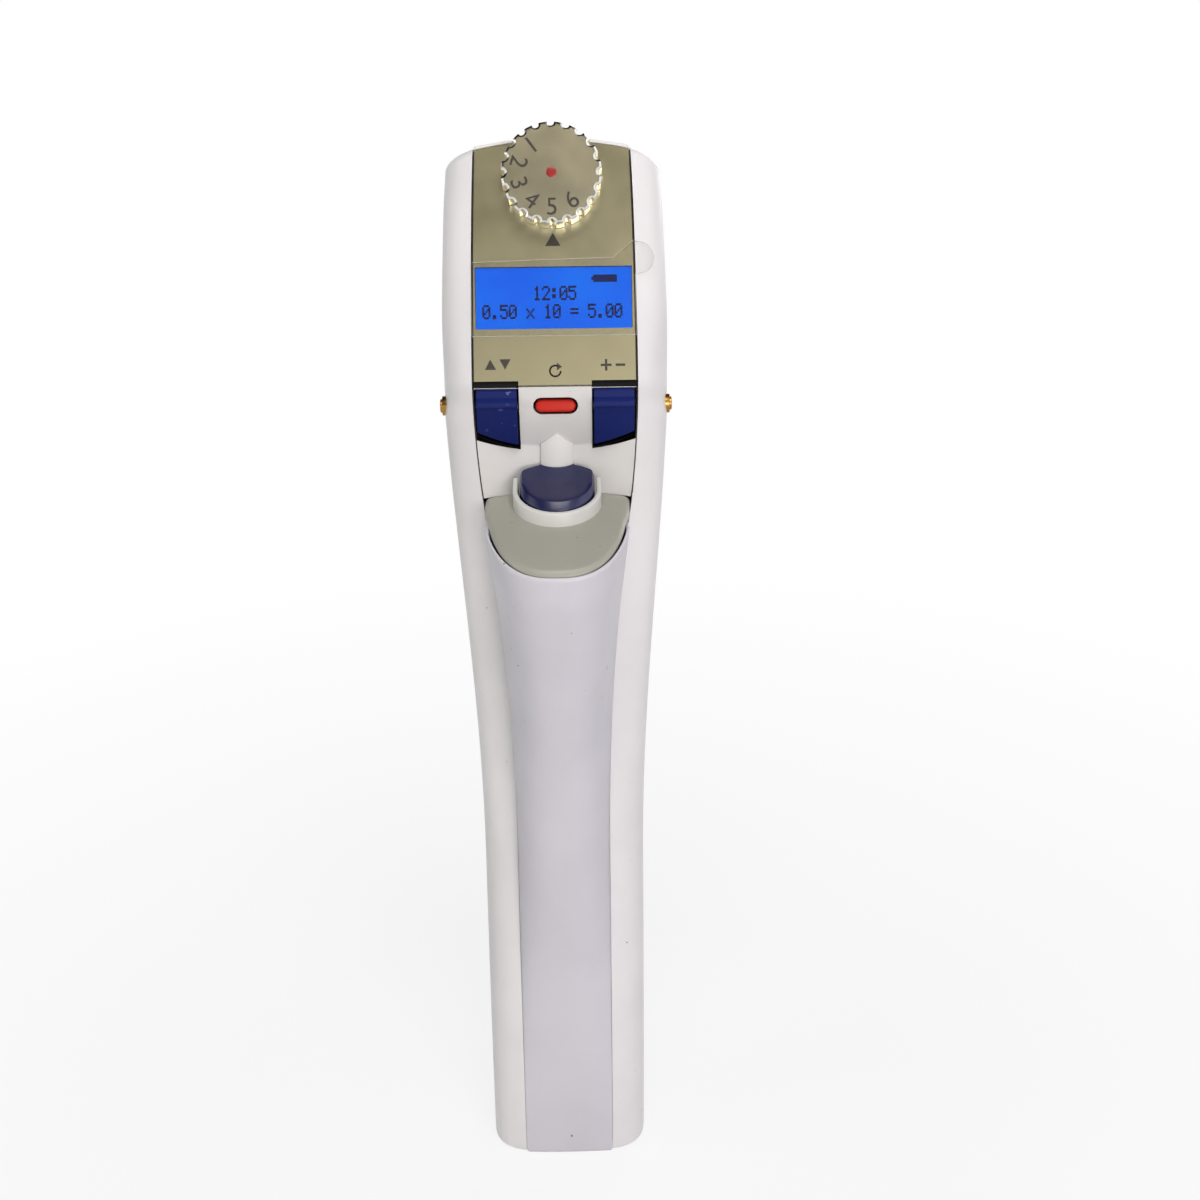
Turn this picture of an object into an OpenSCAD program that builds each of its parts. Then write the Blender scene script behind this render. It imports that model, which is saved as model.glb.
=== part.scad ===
// Electronic repeating pipette: motor-driven dispenser with a mode dial, a lit
// display, two rocker keys, a start key and a tip ejector.
// Millimetres, +Z up, front is -Y. The origin is the mouth of the tip socket, on the piston axis.

/* [Handle] */
// Height of the thumb shelf above the tip mouth
shelf_h = 181; // [172:1:192]
// Width of the handle at the tip mouth
handle_w = 41; // [40.4:0.2:44]
// Depth of the handle in front of the piston axis at the tip mouth
front_depth = 15.4; // [15.2:0.1:17]
// Depth of the handle behind the piston axis at the tip mouth
back_depth = 15; // [15:0.1:17]
// Distance from the piston axis to the back of the neck
neck_back = 25.5; // [25:0.25:28]
// Distance from the piston axis back to the seam at the thumb shelf
seam_neck = 5.1; // [4.6:0.1:5.6]
// Width of the front cover in the lower handle
grip_w = 23.2; // [22:0.2:25]
// Width of the front cover at the thumb shelf
grip_top_w = 35.4; // [34.6:0.2:36.4]
// Reach of the thumb shelf in front of the piston axis
shelf_reach = 25.5; // [24.5:0.5:28]
// Wall thickness of the shells
wall = 2; // [1.8:0.1:2.2]
// Gap at the seams between shells
seam_gap = 0.4; // [0.3:0.05:0.5]

/* [Head] */
// Height of the lower edge of the control panel
panel_h = 208.8; // [206:0.4:214]
// Length of the head front along the panel
panel_len = 56.9; // [55.5:0.5:60]
// Angle by which the head leans back
lean = 21.4; // [18:0.2:24]
// Width of the head
head_w = 53.6; // [52.6:0.2:56]
// Depth of the head behind the panel
head_depth = 26; // [26:0.25:29]
// Width of the control panel at its lower end
panel_w = 38.2; // [37:0.2:39]
// Radius of the arched top edge of the head
arch_r = 82; // [70:1:110]
// How far the finger rest stands behind the neck
rest_reach = 13; // [10:0.5:15]
// Thickness of the control panel plate
plate_t = 1; // [0.8:0.1:1.1]

/* [Display] */
// Margin between the display window and each side of the panel
window_side = 0.95; // [0.9:0.05:2]
// Height of the display window along the panel
window_l = 14.3; // [12:0.1:15]
// Distance of the window's middle from the panel's lower edge
window_q = 20.15; // [19.5:0.05:20.5]

/* [Mode dial] */
// Diameter of the dial
dial_d = 23; // [21:0.1:23.6]
// Height of the dial above the panel
dial_t = 7; // [5:0.25:8]
// Distance of the dial's axis from the top of the head
dial_drop = 9.5; // [9:0.1:10.5]
// Number of grip notches in the dial
notch_count = 20; // [12:1:24]
// Diameter of the dial shaft
shaft_d = 6; // [4:0.25:6.5]

/* [Keys] */
// Distance of the rocker keys' inner edges from the middle
key_in = 9; // [8.8:0.1:9.4]
// Margin between the rocker keys and each side of the panel
key_side = 0.9; // [0.8:0.05:1.3]
// Width of the reset key
reset_w = 9.4; // [8:0.1:9.6]
// Height of the reset key
reset_t = 2.9; // [2.4:0.1:3.2]
// Travel of the reset key
reset_travel = 0.8; // [0.4:0.1:0.9]
// Radius of the start key's round front
start_r = 9; // [8.6:0.1:9.2]
// Position of the start key's axis from the piston axis, towards the back
start_y = 1; // [0.6:0.1:1.2]
// Travel of the start key
start_travel = 1.6; // [1:0.1:1.8]
// Thickness of the collar around the start key
collar_t = 1.2; // [1:0.05:1.3]
// Diameter of the start key's stem
stem_d = 7; // [6:0.25:8]

/* [Ejector] */
// Travel of the thumb shelf when a tip is ejected
eject_travel = 2; // [1:0.1:2]
// Thickness of the shelf
shelf_t = 2.2; // [1.8:0.1:2.6]

/* [Piston drive] */
// Radius of the tip socket
socket_r = 8.6; // [8:0.1:8.8]
// Length of the round mouth of the tip socket
socket_l = 10; // [8:0.5:10]
// Stroke of the piston rod
stroke = 34; // [24:1:34]
// Diameter of the piston rod
rod_d = 9; // [8:0.25:9.5]
// Diameter of the lead screw
screw_d = 5; // [4:0.25:5.5]
// Diameter of the motor
motor_d = 16; // [14:0.5:17]
// Radial running clearance of shafts and rods
run = 0.06; // [0.04:0.01:0.08]

/* [Hidden] */
$fn = 48;

white = [0.90, 0.90, 0.92];
shelf_grey = [0.80, 0.81, 0.78];
gold = [0.72, 0.69, 0.58];
navy = [0.10, 0.13, 0.45];
black = [0.06, 0.06, 0.07];
board_green = [0.10, 0.35, 0.20];
steel = [0.70, 0.71, 0.73];
brass = [0.80, 0.62, 0.28];

// ---- general helpers ----

function clamp01(t) = min(1, max(0, t));
function ease(t) = let (c = clamp01(t)) c * c * (3 - 2 * c);
function swing(t) = (1 - cos(180 * clamp01(t))) / 2;
function mix(a, b, t) = a + (b - a) * t;
function sgn(a) = a < 0 ? -1 : 1;
function pw(a, e) = sgn(a) * pow(abs(a), e);

// Faces of a stack of rings: each ring runs anticlockwise seen from above, and rings go upwards.
function side_faces(n, m) = [
    for (j = [0:m - 2], i = [0:n - 1])
        let (p = j * n + i, q = j * n + (i + 1) % n)
            each [[p, q + n, q], [p, p + n, q + n]]
];
function fan_faces(n, first, middle, up) = [
    for (i = [0:n - 1])
        let (p = first + i, q = first + (i + 1) % n)
            up ? [middle, q, p] : [middle, p, q]
];
function strip_faces(n, first, up) = [
    for (i = [0:n / 2 - 2])
        let (a = first + i, b = first + i + 1, c = first + n - 2 - i, d = first + n - 1 - i)
            each (up ? [[a, c, b], [a, d, c]] : [[a, b, c], [a, c, d]])
];
// Closed solid from rings that enclose a middle point at both ends
module ring_solid(rings, low_middle, high_middle) {
    n = len(rings[0]);
    m = len(rings);
    polyhedron(
        concat([for (r = rings) each r], [low_middle, high_middle]),
        concat(side_faces(n, m), fan_faces(n, 0, m * n, false), fan_faces(n, (m - 1) * n, m * n + 1, true)));
}
// Closed solid from rings that are bent strips, each with as many points outside as inside
module strip_solid(rings) {
    n = len(rings[0]);
    m = len(rings);
    polyhedron(
        [for (r = rings) each r],
        concat(side_faces(n, m), strip_faces(n, 0, false), strip_faces(n, (m - 1) * n, true)));
}

// ---- the body's form, by the height h along its front seam ----

seam_low = -14.55;                       // seam at the tip mouth
top_h = panel_h + panel_len;             // end of the head, measured along the seam
function seam_y(h) =
    h <= shelf_h ? mix(seam_low, seam_neck, swing(pow(max(h, 0) / shelf_h, 1.3)))
    : h < panel_h ? mix(seam_neck, panel_y, (h - shelf_h) / (panel_h - shelf_h))
    : panel_y + (h - panel_h) * sin(lean);
function seam_z(h) = h < panel_h ? h : panel_h + (h - panel_h) * cos(lean);
panel_y = seam_neck - 0.7;               // front of the panel's lower edge
bend_low = shelf_h + 7;                  // sections start to lean here
bend_high = panel_h + 4;                 // and lean fully here
function tilt(h) = lean * ease((h - bend_low) / (bend_high - bend_low));

// Finger rest: a lip across the back, steep below and gentle above
rest_h = panel_h - 2.8;
function rest_form(h) = ease((h - rest_h + 6) / 6) * (1 - ease((h - rest_h - 3) / 19));
function base_depth(h) =
    h <= shelf_h ? mix(back_depth, neck_back, ease(h / (shelf_h + 9))) - seam_y(h)
    : mix(neck_back - seam_neck, head_depth, ease((h - shelf_h) / (panel_h + 6 - shelf_h)));
function depth(h, inset = 0) =
    base_depth(h) - inset + rest_reach * (inset > 0 ? min(rest_form(h), rest_form(h - 2.4)) : rest_form(h));

// Half widths of the body and of the strip between the seams
function half_w(h) =
    handle_w / 2 + (head_w - handle_w) / 2 * swing((h - 84) / (panel_h + 10 - 84))
    - 1.6 * pow(clamp01((h - panel_h - 12) / (panel_len - 12)), 1.5);
function half_s(h) =
    h <= shelf_h ? grip_w / 2 + (grip_top_w - grip_w) / 2 * pow(clamp01((h - 90) / (shelf_h - 90)), 2)
    : h < panel_h ? mix(grip_top_w, panel_w, 1 - pow((panel_h - h) / (panel_h - shelf_h), 2)) / 2
    : panel_w / 2 - 1.1 * pow((h - panel_h) / panel_len, 2);
function roundness(h) =
    h <= shelf_h ? mix(3.7, 2.8, ease(h / 110)) : mix(2.8, 3.3, ease((h - shelf_h) / 30));

// A body section is a rounded box: v runs back from the seam, and inset shrinks it
function mid_v(h) = depth(h) / 2;
function front_semi(h) = mid_v(h) / pow(1 - pow(half_s(h) / half_w(h), roundness(h)), 1 / roundness(h));
function seam_angle(h, inset) = acos(pow((half_s(h) + seam_gap / 2) / (half_w(h) - inset), roundness(h) / 2));
function section(h, a, inset, back) =
    let (e = 2 / roundness(h), c = cos(a), s = sin(a))
        [pw(c, e) * (half_w(h) - inset),
         s > 0 ? mid_v(h) - (front_semi(h) - inset) * pw(s, e) : mid_v(h) + (back - mid_v(h)) * pw(-s, e)];
function crown(x, h) = x * x / (2 * arch_r) * ease((h - top_h + 16) / 16);
function place(h, x, v) =
    let (g = h - crown(x, h))
        [x, seam_y(g) + v * cos(tilt(g)), seam_z(g) - v * sin(tilt(g))];

// ---- rear shell: both cheeks, the back, the finger rest and the closed top ----

arc_steps = 24;
edge_r = 2.2;                            // rounding at the top of the head
rim_r = 1.2;                             // rounding at the lower rim
top_t = 1;                               // from the cavity's end to the rounding
cover_low = panel_h + 15;                // battery opening, along the back
cover_high = panel_h + panel_len - 10.9;
cover_cells = [8, 16];                   // battery opening, as cells around the back
low_hs = [for (k = [1:8]) shelf_h * k / 8];
neck_hs = [for (k = [1:7]) shelf_h + (panel_h - shelf_h) * k / 7];
head_hs = concat([for (k = [1:2]) panel_h + 5 * k], [for (k = [0:3]) mix(cover_low, cover_high, k / 3)]);
open_h = top_h - edge_r - top_t;         // the cavity ends here
// each row: height, inset of the outside, and whether the ring is open (0) or closed across the front (1)
shell_rows = concat(
    [[0, rim_r, 0], [rim_r * 0.3, rim_r * 0.3, 0], [rim_r, 0, 0]],
    [for (h = low_hs) [h, 0, 0]], [for (h = neck_hs) [h, 0, 0]], [for (h = head_hs) [h, 0, 0]],
    [[open_h, 0, 0], [open_h + 0.6, 0, 1]],
    [for (k = [0:4]) [top_h - edge_r + edge_r * sin(22.5 * k), edge_r * (1 - cos(22.5 * k)), 1]]);
carrier_back = 3.4;                      // back of the panel carrier, from the panel's front
function shell_outside(h, inset) = [
    for (i = [0:arc_steps])
        let (a0 = seam_angle(h, inset), a = a0 - (180 + 2 * a0) * i / arc_steps,
             p = section(h, a, inset, depth(h) - inset))
            place(h, i == 0 || i == arc_steps ? sgn(p[0]) * (half_s(h) + seam_gap / 2) : p[0],
                  max(p[1], inset > rim_r ? inset * 0.3 : 0))
];
function shell_inside(h) = [
    for (i = [arc_steps:-1:0])
        let (a0 = seam_angle(h, wall), a = a0 - (180 + 2 * a0) * i / arc_steps,
             p = section(h, a, wall, depth(h, wall)))
            place(h, p[0], p[1])
];
function shell_front(h) = [
    for (i = [arc_steps:-1:0])
        place(h, (half_s(h) + seam_gap / 2) * (1 - 2 * i / arc_steps), carrier_back + 0.3)
];
shell_rings = [
    for (r = shell_rows) concat(shell_outside(r[0], r[1]), r[2] == 1 ? shell_front(r[0]) : shell_inside(r[0]))
];
cover_rows = [3 + len(low_hs) + len(neck_hs) + 2, 3 + len(low_hs) + len(neck_hs) + 5];

// Side faces of the shell without the cells of the battery opening, and the walls of that opening
function outer_cell(c) = c < arc_steps ? c : c == arc_steps || c == 2 * arc_steps + 1 ? -1 : 2 * arc_steps - c;
function in_cover(c, j) =
    outer_cell(c) >= cover_cells[0] && outer_cell(c) < cover_cells[1] && j >= cover_rows[0] && j < cover_rows[1];
function outside_id(j, i, n) = j * n + i;
function inside_id(j, i, n) = j * n + n - 1 - i;
function shell_faces(n, m) = concat(
    [for (j = [0:m - 2], c = [0:n - 1])
        let (p = j * n + c, q = j * n + (c + 1) % n)
            if (!in_cover(c, j)) each [[p, q + n, q], [p, p + n, q + n]]],
    [for (j = [cover_rows[0]:cover_rows[1] - 1], side = [0, 1])
        let (i = cover_cells[side], o0 = outside_id(j + side, i, n), o1 = outside_id(j + 1 - side, i, n),
             i0 = inside_id(j + side, i, n), i1 = inside_id(j + 1 - side, i, n))
            each [[o0, o1, i1], [o0, i1, i0]]],
    [for (i = [cover_cells[0]:cover_cells[1] - 1], side = [0, 1])
        let (j = cover_rows[side], o0 = outside_id(j, i + 1 - side, n), o1 = outside_id(j, i + side, n),
             i0 = inside_id(j, i + 1 - side, n), i1 = inside_id(j, i + side, n))
            each [[o0, o1, i1], [o0, i1, i0]]],
    strip_faces(n, 0, false), strip_faces(n, (m - 1) * n, true));

module rear_shell() {
    n = 2 * (arc_steps + 1);
    color(white)
        difference() {
            polyhedron([for (r = shell_rings) each r], shell_faces(n, len(shell_rings)));
            for (side = [-1, 1])
                contact_bore(side);
        }
}

// ---- battery cover: the missing patch of the shell, a little smaller all round ----

cover_gap = 0.25;
cover_trim = 0.9;                        // in degrees, at each side
function cover_angle(h, inset, t) =
    let (a0 = seam_angle(h, inset), step = (180 + 2 * a0) / arc_steps)
        mix(a0 - step * cover_cells[0] - cover_trim, a0 - step * cover_cells[1] + cover_trim, t);
cover_n = cover_cells[1] - cover_cells[0];
function cover_ring(h) = concat(
    [for (i = [0:cover_n])
        let (p = section(h, cover_angle(h, 0, i / cover_n), 0, depth(h))) place(h, p[0], p[1] - 0.05)],
    [for (i = [cover_n:-1:0])
        let (p = section(h, cover_angle(h, wall, i / cover_n), wall, depth(h, wall))) place(h, p[0], p[1])]);

module battery_cover() {
    color(white)
        strip_solid([
            for (k = [0:3])
                cover_ring(mix(cover_low, cover_high, k / 3) + (k == 0 ? cover_gap : k == 3 ? -cover_gap : 0))
        ]);
}

// ---- front grip: the bulging cover between the seams, open at the top for the thumb shelf ----

grip_steps = 22;
lip_drop = 1.4;                          // the grip's lip lies this far below the shelf's top
side_drop = 4.6;                         // and this much lower where the shelf meets the cheeks
side_y = -7.4;                           // the lip starts to drop behind this line
function grip_wall(h) = mix(wall, 0.5, ease((h - shelf_h + 24) / 16));
function grip_front(h) = -front_depth - (shelf_reach - front_depth) * pow(clamp01(h / (shelf_h - 8)), 1.6);
function bulge(h) = seam_y(h) - grip_front(h);
function side_power(h) = mix(2, 2.3, ease(h / 120));
function front_power(h) = mix(1.4, 2.3, ease(h / 120));
function shelf_top(y) = let (d = seam_neck - y) shelf_h - 0.25 - 0.03 * max(d, 0) - 0.0068 * pow(max(d, 0), 2);
// the lip follows the slope of the thumb shelf, so sections warp towards the top
function grip_z(h, y) =
    h - (shelf_h - (shelf_top(y) - lip_drop)) * ease((h - shelf_h + 36) / 36)
    - side_drop * ease((y - side_y) / 1.6) * ease((h - shelf_h + 16) / 16);
function grip_point(h, a, s, reach, back) =
    let (x = -cos(a), y = pow(max(1 - pow(abs(x), side_power(h)), 0), 1 / front_power(h)))
        [x * s, back - reach * y];
function grip_ring(h, inset) =
    let (s = half_s(h) - seam_gap / 4 - inset, t = grip_wall(h), lap = mix(wall, 0.5, ease((h - shelf_h + 24) / 10)))
        concat(
            [[-s, seam_y(h) + lap, 0]],
            [for (i = [0:grip_steps])
                let (p = grip_point(h, 180 * i / grip_steps, s, bulge(h) - inset, seam_y(h))) [p[0], p[1], 0]],
            [[s, seam_y(h) + lap, 0]],
            [[s - t + inset, seam_y(h) + lap, 0]],
            [for (i = [grip_steps:-1:0])
                let (p = grip_point(h, 180 * i / grip_steps, s - t + inset, bulge(h) - t, seam_y(h)))
                    [p[0], max(p[1], grip_front(h) + t), 0]],
            [[-s + t - inset, seam_y(h) + lap, 0]]);
// where the lip drops, the sides keep to the seam's width at their new height
function lifted(ring, h) = [
    for (p = ring)
        let (z = grip_z(h, p[1]), t = ease((p[1] - side_y) / 1.6))
            [p[0] * half_s(mix(h, min(h, z), t)) / half_s(h), p[1], z]
];
grip_rows = concat(
    [[0, rim_r * 0.7], [rim_r * 0.3, rim_r * 0.2], [rim_r, 0]],
    [for (k = [1:9]) [shelf_h * 0.87 * k / 9, 0]],
    [for (k = [1:6]) [mix(shelf_h * 0.87, shelf_h - 0.4, k / 6), 0]],
    [[shelf_h, 0.4]]);

module front_grip() {
    color(white)
        strip_solid([for (r = grip_rows) lifted(grip_ring(r[0], r[1]), r[0])]);
}

// ---- head front: hollowed wall behind the thumb, fascia, guide rib and panel carrier ----

scoop = 4.9;                             // the wall behind the start key is this much deeper in the middle
wall_mid = seam_neck + scoop;            // front of that wall in the middle
block_back = wall_mid + 2.4;
crease_h = shelf_h + 11.4;
function crease(x) = crease_h + 3.3 * pow(x / 18.5, 2);
function hollow(x, z) = scoop * pow(clamp01((panel_h - 0.4 - z) / (panel_h - 0.4 - crease(x))), 1.8);
function fascia_y(x, z) = seam_y(z) + 0.3 + hollow(x, z) * (1 - pow(x / 18.6, 2));
fascia_n = 12;
function fascia_ring(z, s) = concat(
    [for (i = [0:fascia_n]) let (x = mix(-s, s, i / fascia_n)) [x, fascia_y(x, z), z]],
    [for (i = [0:fascia_n]) let (x = mix(s, -s, i / fascia_n)) [x, block_back, z]]);
tongue_low = shelf_h - 15;
tongue_slack = 2.6;                      // the tongue behind the shelf is narrower than the wall above it
block_low = shelf_h - 0.4;
block_high = panel_h - 0.5;
block_rings = concat(
    [for (k = [0:3]) let (z = mix(tongue_low, block_low, k / 3)) fascia_ring(z, half_s(z) - tongue_slack)],
    [for (k = [0:10]) let (z = mix(block_low + 0.05, block_high, k / 10)) fascia_ring(z, half_s(z) - seam_gap / 4)]);
rib_w = 7.74;                            // guide rib that the start key slides along
rib_r = 6;
rib_front = wall_mid - 2.4;
rib_peak = crease_h + 3.65;              // the rib ends above in a gable
rib_shoulder = rib_peak - 3.05;

module on_panel(q = 0) {
    translate([0, panel_y, panel_h])
        rotate([90 - lean, 0, 0])
            translate([0, q, 0])
                children();
}
function arch_q(x, q) = q - x * x / (2 * arch_r);
// Outline of a plate between the seams, in panel coordinates
function panel_outline(low, high, slack) = concat(
    [for (k = [0:5]) let (q = mix(low, high - 2.2, k / 5)) [half_s(panel_h + q) - slack, q]],
    [for (k = [5:-1:-5]) let (x = (half_s(panel_h + high) - slack) * k / 5) [x, arch_q(x, high)]],
    [for (k = [5:-1:0]) let (q = mix(low, high - 2.2, k / 5)) [-half_s(panel_h + q) + slack, q]]);
module panel_plate(low, high, slack, front, t) {
    translate([0, 0, front - t])
        linear_extrude(t)
            polygon(panel_outline(low, high, slack));
}
// Strip of the head front that borders the panel plate at the top
module top_lip() {
    x = half_s(top_h) - seam_gap / 4;
    translate([0, 0, -carrier_back + 0.7])
        linear_extrude(carrier_back - 0.7)
            polygon(concat(
                [for (k = [-5:5]) [x * k / 5, arch_q(x * k / 5, panel_len)]],
                [for (k = [5:-1:-5]) [x * k / 5, arch_q(x * k / 5, plate_high + 0.1)]]));
}
module window_cut(margin, t, front) {
    translate([-window_w / 2 - margin, window_q - window_l / 2 - margin, front - t])
        cube([window_w + 2 * margin, window_l + 2 * margin, t]);
}

plate_high = panel_len - 0.9;            // top of the panel plate
window_w = panel_w - 2 * window_side;
dial_q = panel_len - dial_drop;          // the dial's axis, up the panel
key_out = panel_w / 2 - key_side;        // outer edges of the rocker keys

// The key openings end below in one common arc
key_arc_r = 40.6;
key_arc_z = panel_h + 22.7;
open_in = key_in - 0.5;
open_top = panel_h + 1;
module key_opening(side, back, shrink = 0) {
    x0 = side > 0 ? open_in + shrink : -half_s(panel_h) - 1;
    x1 = side > 0 ? half_s(panel_h) + 1 : -open_in - shrink;
    intersection() {
        translate([x0, -5, open_top - 22])
            cube([x1 - x0, back + 5, 22 - shrink]);
        translate([0, -6, key_arc_z])
            rotate([-90, 0, 0])
                cylinder(r = key_arc_r - shrink, h = back + 7, $fn = 96);
    }
}
module pill(w, t, l) {
    linear_extrude(l)
        union() {
            square([w - t, t], center = true);
            for (side = [-1, 1])
                translate([side * (w - t) / 2, 0])
                    circle(d = t);
        }
}
reset_z = panel_h - 5.3;
reset_lean = 12;
module at_reset(out) {
    translate([0, fascia_y(0, reset_z), reset_z])
        rotate([90 - reset_lean, 0, 0])
            translate([0, 0, out])
                children();
}
reset_gap = 0.55;

module head_front() {
    color(white)
        difference() {
            union() {
                strip_solid(block_rings);
                on_panel()
                    panel_plate(-0.6, panel_len, seam_gap / 4, -plate_t - 0.1, carrier_back - plate_t - 0.4);
                on_panel()
                    top_lip();
                intersection() {
                    translate([0, rib_front + rib_r, tongue_low])
                        cylinder(r = rib_r, h = rib_peak - tongue_low);
                    translate([0, block_back - 1, 0])
                        rotate([90, 0, 0])
                            linear_extrude(block_back - rib_front)
                                polygon([
                                    [-rib_w / 2, tongue_low], [rib_w / 2, tongue_low], [rib_w / 2, rib_shoulder],
                                    [0, rib_peak], [-rib_w / 2, rib_shoulder]
                                ]);
                }
            }
            key_opening(-1, block_back + 2);
            key_opening(1, block_back + 2);
            at_reset(-12)
                pill(reset_w + 2 * reset_gap, reset_t + 2 * reset_gap, 16);
            on_panel()
                window_cut(0.2, 9, 3);
            on_panel(dial_q)
                translate([0, 0, -9])
                    cylinder(d = shaft_d + 1, h = 12);
        }
}

// ---- control panel and display ----

panel_side = 0.35;                       // gap between the plate and the cheeks
module control_panel() {
    color(gold)
        on_panel()
            difference() {
                panel_plate(0, plate_high, panel_side, 0, plate_t);
                for (side = [-1, 1])
                    translate([side * (open_in + 10) - 10, -1, -plate_t - 1])
                        cube([20, 2, plate_t + 2]);
                window_cut(0, 3, 1);
                translate([0, dial_q, -2])
                    cylinder(d = shaft_d + 1, h = 4);
            }
}
lens_t = 0.8;
module display_window() {
    color([0.4, 0.6, 1, 0.4])
        on_panel()
            window_cut(-0.05, lens_t, -0.15);
}
lcd_t = 2.2;
module lcd_module() {
    color([0.02, 0.38, 1])
        on_panel()
            window_cut(-0.1, lcd_t, -0.15 - lens_t - 0.05);
}
holder_front = -carrier_back - 0.1;
module lcd_holder() {
    color(black)
        on_panel()
            window_cut(-0.4, 2.4, holder_front);
}
film_t = 0.12;
tab_r = 3.6;
module screen_film() {
    low = window_q - window_l / 2 - 1.7;
    high = window_q + window_l / 2 + 1.7;
    half = half_s(panel_h + window_q) + 0.1;
    color([0.9, 0.9, 0.85, 0.25])
        on_panel()
            translate([0, 0, 0.06])
                linear_extrude(film_t)
                    union() {
                        polygon([[-half, low], [half, low], [half, high + 4.1], [half - 0.9, high + 4.1],
                            [half - 5.2, high + 0.3], [-half, high - 0.5]]);
                        translate([half - 0.1, high - 3.6])
                            square([1.2, 7.4]);
                        translate([half + 0.6, high + 0.1])
                            circle(r = tab_r + 0.1);
                    }
}

// ---- mode dial ----

dial_r = dial_d / 2;
notch_r = 1.15;
dial_foot = 0.35;                        // running gap under the dial
face_t = 0.6;
module dial_notches() {
    for (k = [0:notch_count - 1])
        rotate(90 + k * 360 / notch_count)
            translate([dial_r + 0.25, 0, -1])
                cylinder(r = notch_r, h = dial_t + 2, $fn = 24);
}
module mode_dial() {
    color(steel)
        on_panel(dial_q)
            difference() {
                union() {
                    translate([0, 0, dial_foot])
                        cylinder(r = dial_r, h = dial_t - dial_foot - 0.5);
                    translate([0, 0, dial_t - 0.5])
                        cylinder(r1 = dial_r, r2 = dial_r - 0.5, h = 0.5);
                }
                dial_notches();
                translate([0, 0, dial_t - face_t])
                    cylinder(r = dial_r - 0.7, h = face_t + 1);
                translate([0, 0, -1])
                    cylinder(d = shaft_d, h = dial_t - 2);
            }
}
module dial_face() {
    color(gold)
        on_panel(dial_q)
            difference() {
                translate([0, 0, dial_t - face_t])
                    cylinder(r = dial_r - 0.75, h = face_t);
                dial_notches();
                translate([0, 0, dial_t - 0.3])
                    cylinder(r = 1.25, h = 1);
            }
}
module dial_dot() {
    color([0.8, 0.12, 0.1])
        on_panel(dial_q)
            translate([0, 0, dial_t - 0.3])
                cylinder(r = 1.2, h = 0.4);
}
encoder_front = -carrier_back - 0.2;
encoder_t = 5;
encoder_w = 10.4;
module dial_shaft() {
    color(steel)
        on_panel(dial_q)
            translate([0, 0, encoder_front - encoder_t - 1])
                cylinder(d = shaft_d - 0.02, h = dial_t - 3 - encoder_front + encoder_t + 1);
}
module encoder() {
    color(steel)
        on_panel(dial_q)
            difference() {
                translate([-encoder_w / 2, -encoder_w / 2, encoder_front - encoder_t])
                    cube([encoder_w, encoder_w, encoder_t]);
                translate([0, 0, encoder_front - encoder_t - 1])
                    cylinder(d = shaft_d + 2 * run, h = encoder_t + 2);
            }
}
board_front = encoder_front - encoder_t - 0.1;
board_t = 1.4;
board_low = 11;                          // lower edge of the display board, up the panel
board_w = panel_w - 6.2;
board_l = panel_len - 5.7 - board_low;
post_x = window_w / 2 - 6.15;            // the board's posts stand behind the display
module display_board() {
    color(board_green)
        on_panel()
            difference() {
                union() {
                    translate([-board_w / 2, board_low, board_front - board_t])
                        cube([board_w, board_l, board_t]);
                    for (x = [-post_x, post_x], q = [window_q - 5, window_q + 5])
                        translate([x, q, board_front - 0.2])
                            cylinder(d = 3, h = holder_front - 2.4 - board_front + 0.2);
                }
                translate([0, dial_q, board_front - 3])
                    cylinder(d = shaft_d + 2, h = 6);
            }
}

// ---- rocker keys ----

axle_y = seam_neck + 3.4;
axle_z = panel_h - 6.2;
axle_d = 2;
well_back = block_back + 1.2;
well_out = half_s(shelf_h + 16) - seam_gap / 4;
well_front = seam_neck + 1.2;
well_bend = panel_h - 8.8;               // below this the wells' front edges follow the hollow of the fascia
well_lean = 17;
module key_well(side) {
    color(black)
        difference() {
            intersection() {
                key_opening(side, well_back, 0.05);
                translate([-well_out, well_front, 0])
                    cube([2 * well_out, 20, panel_h * 2]);
            }
            key_pocket(side);
            translate([0, well_front, well_bend])
                rotate([well_lean, 0, 0])
                    translate([-30, -20, -30])
                        cube([60, 20, 30]);
            translate([-40, axle_y, axle_z])
                rotate([0, 90, 0])
                    cylinder(d = axle_d, h = 80);
        }
}
module key_pocket(side) {
    x0 = side > 0 ? open_in + 0.35 : -well_out + 0.3;
    x1 = side > 0 ? well_out - 0.3 : -open_in - 0.35;
    intersection() {
        translate([x0, 0, open_top - 22])
            cube([x1 - x0, well_back - 1, 21.3]);
        translate([0, -6, key_arc_z])
            rotate([-90, 0, 0])
                cylinder(r = key_arc_r - 0.5, h = 40, $fn = 96);
    }
}
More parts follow.
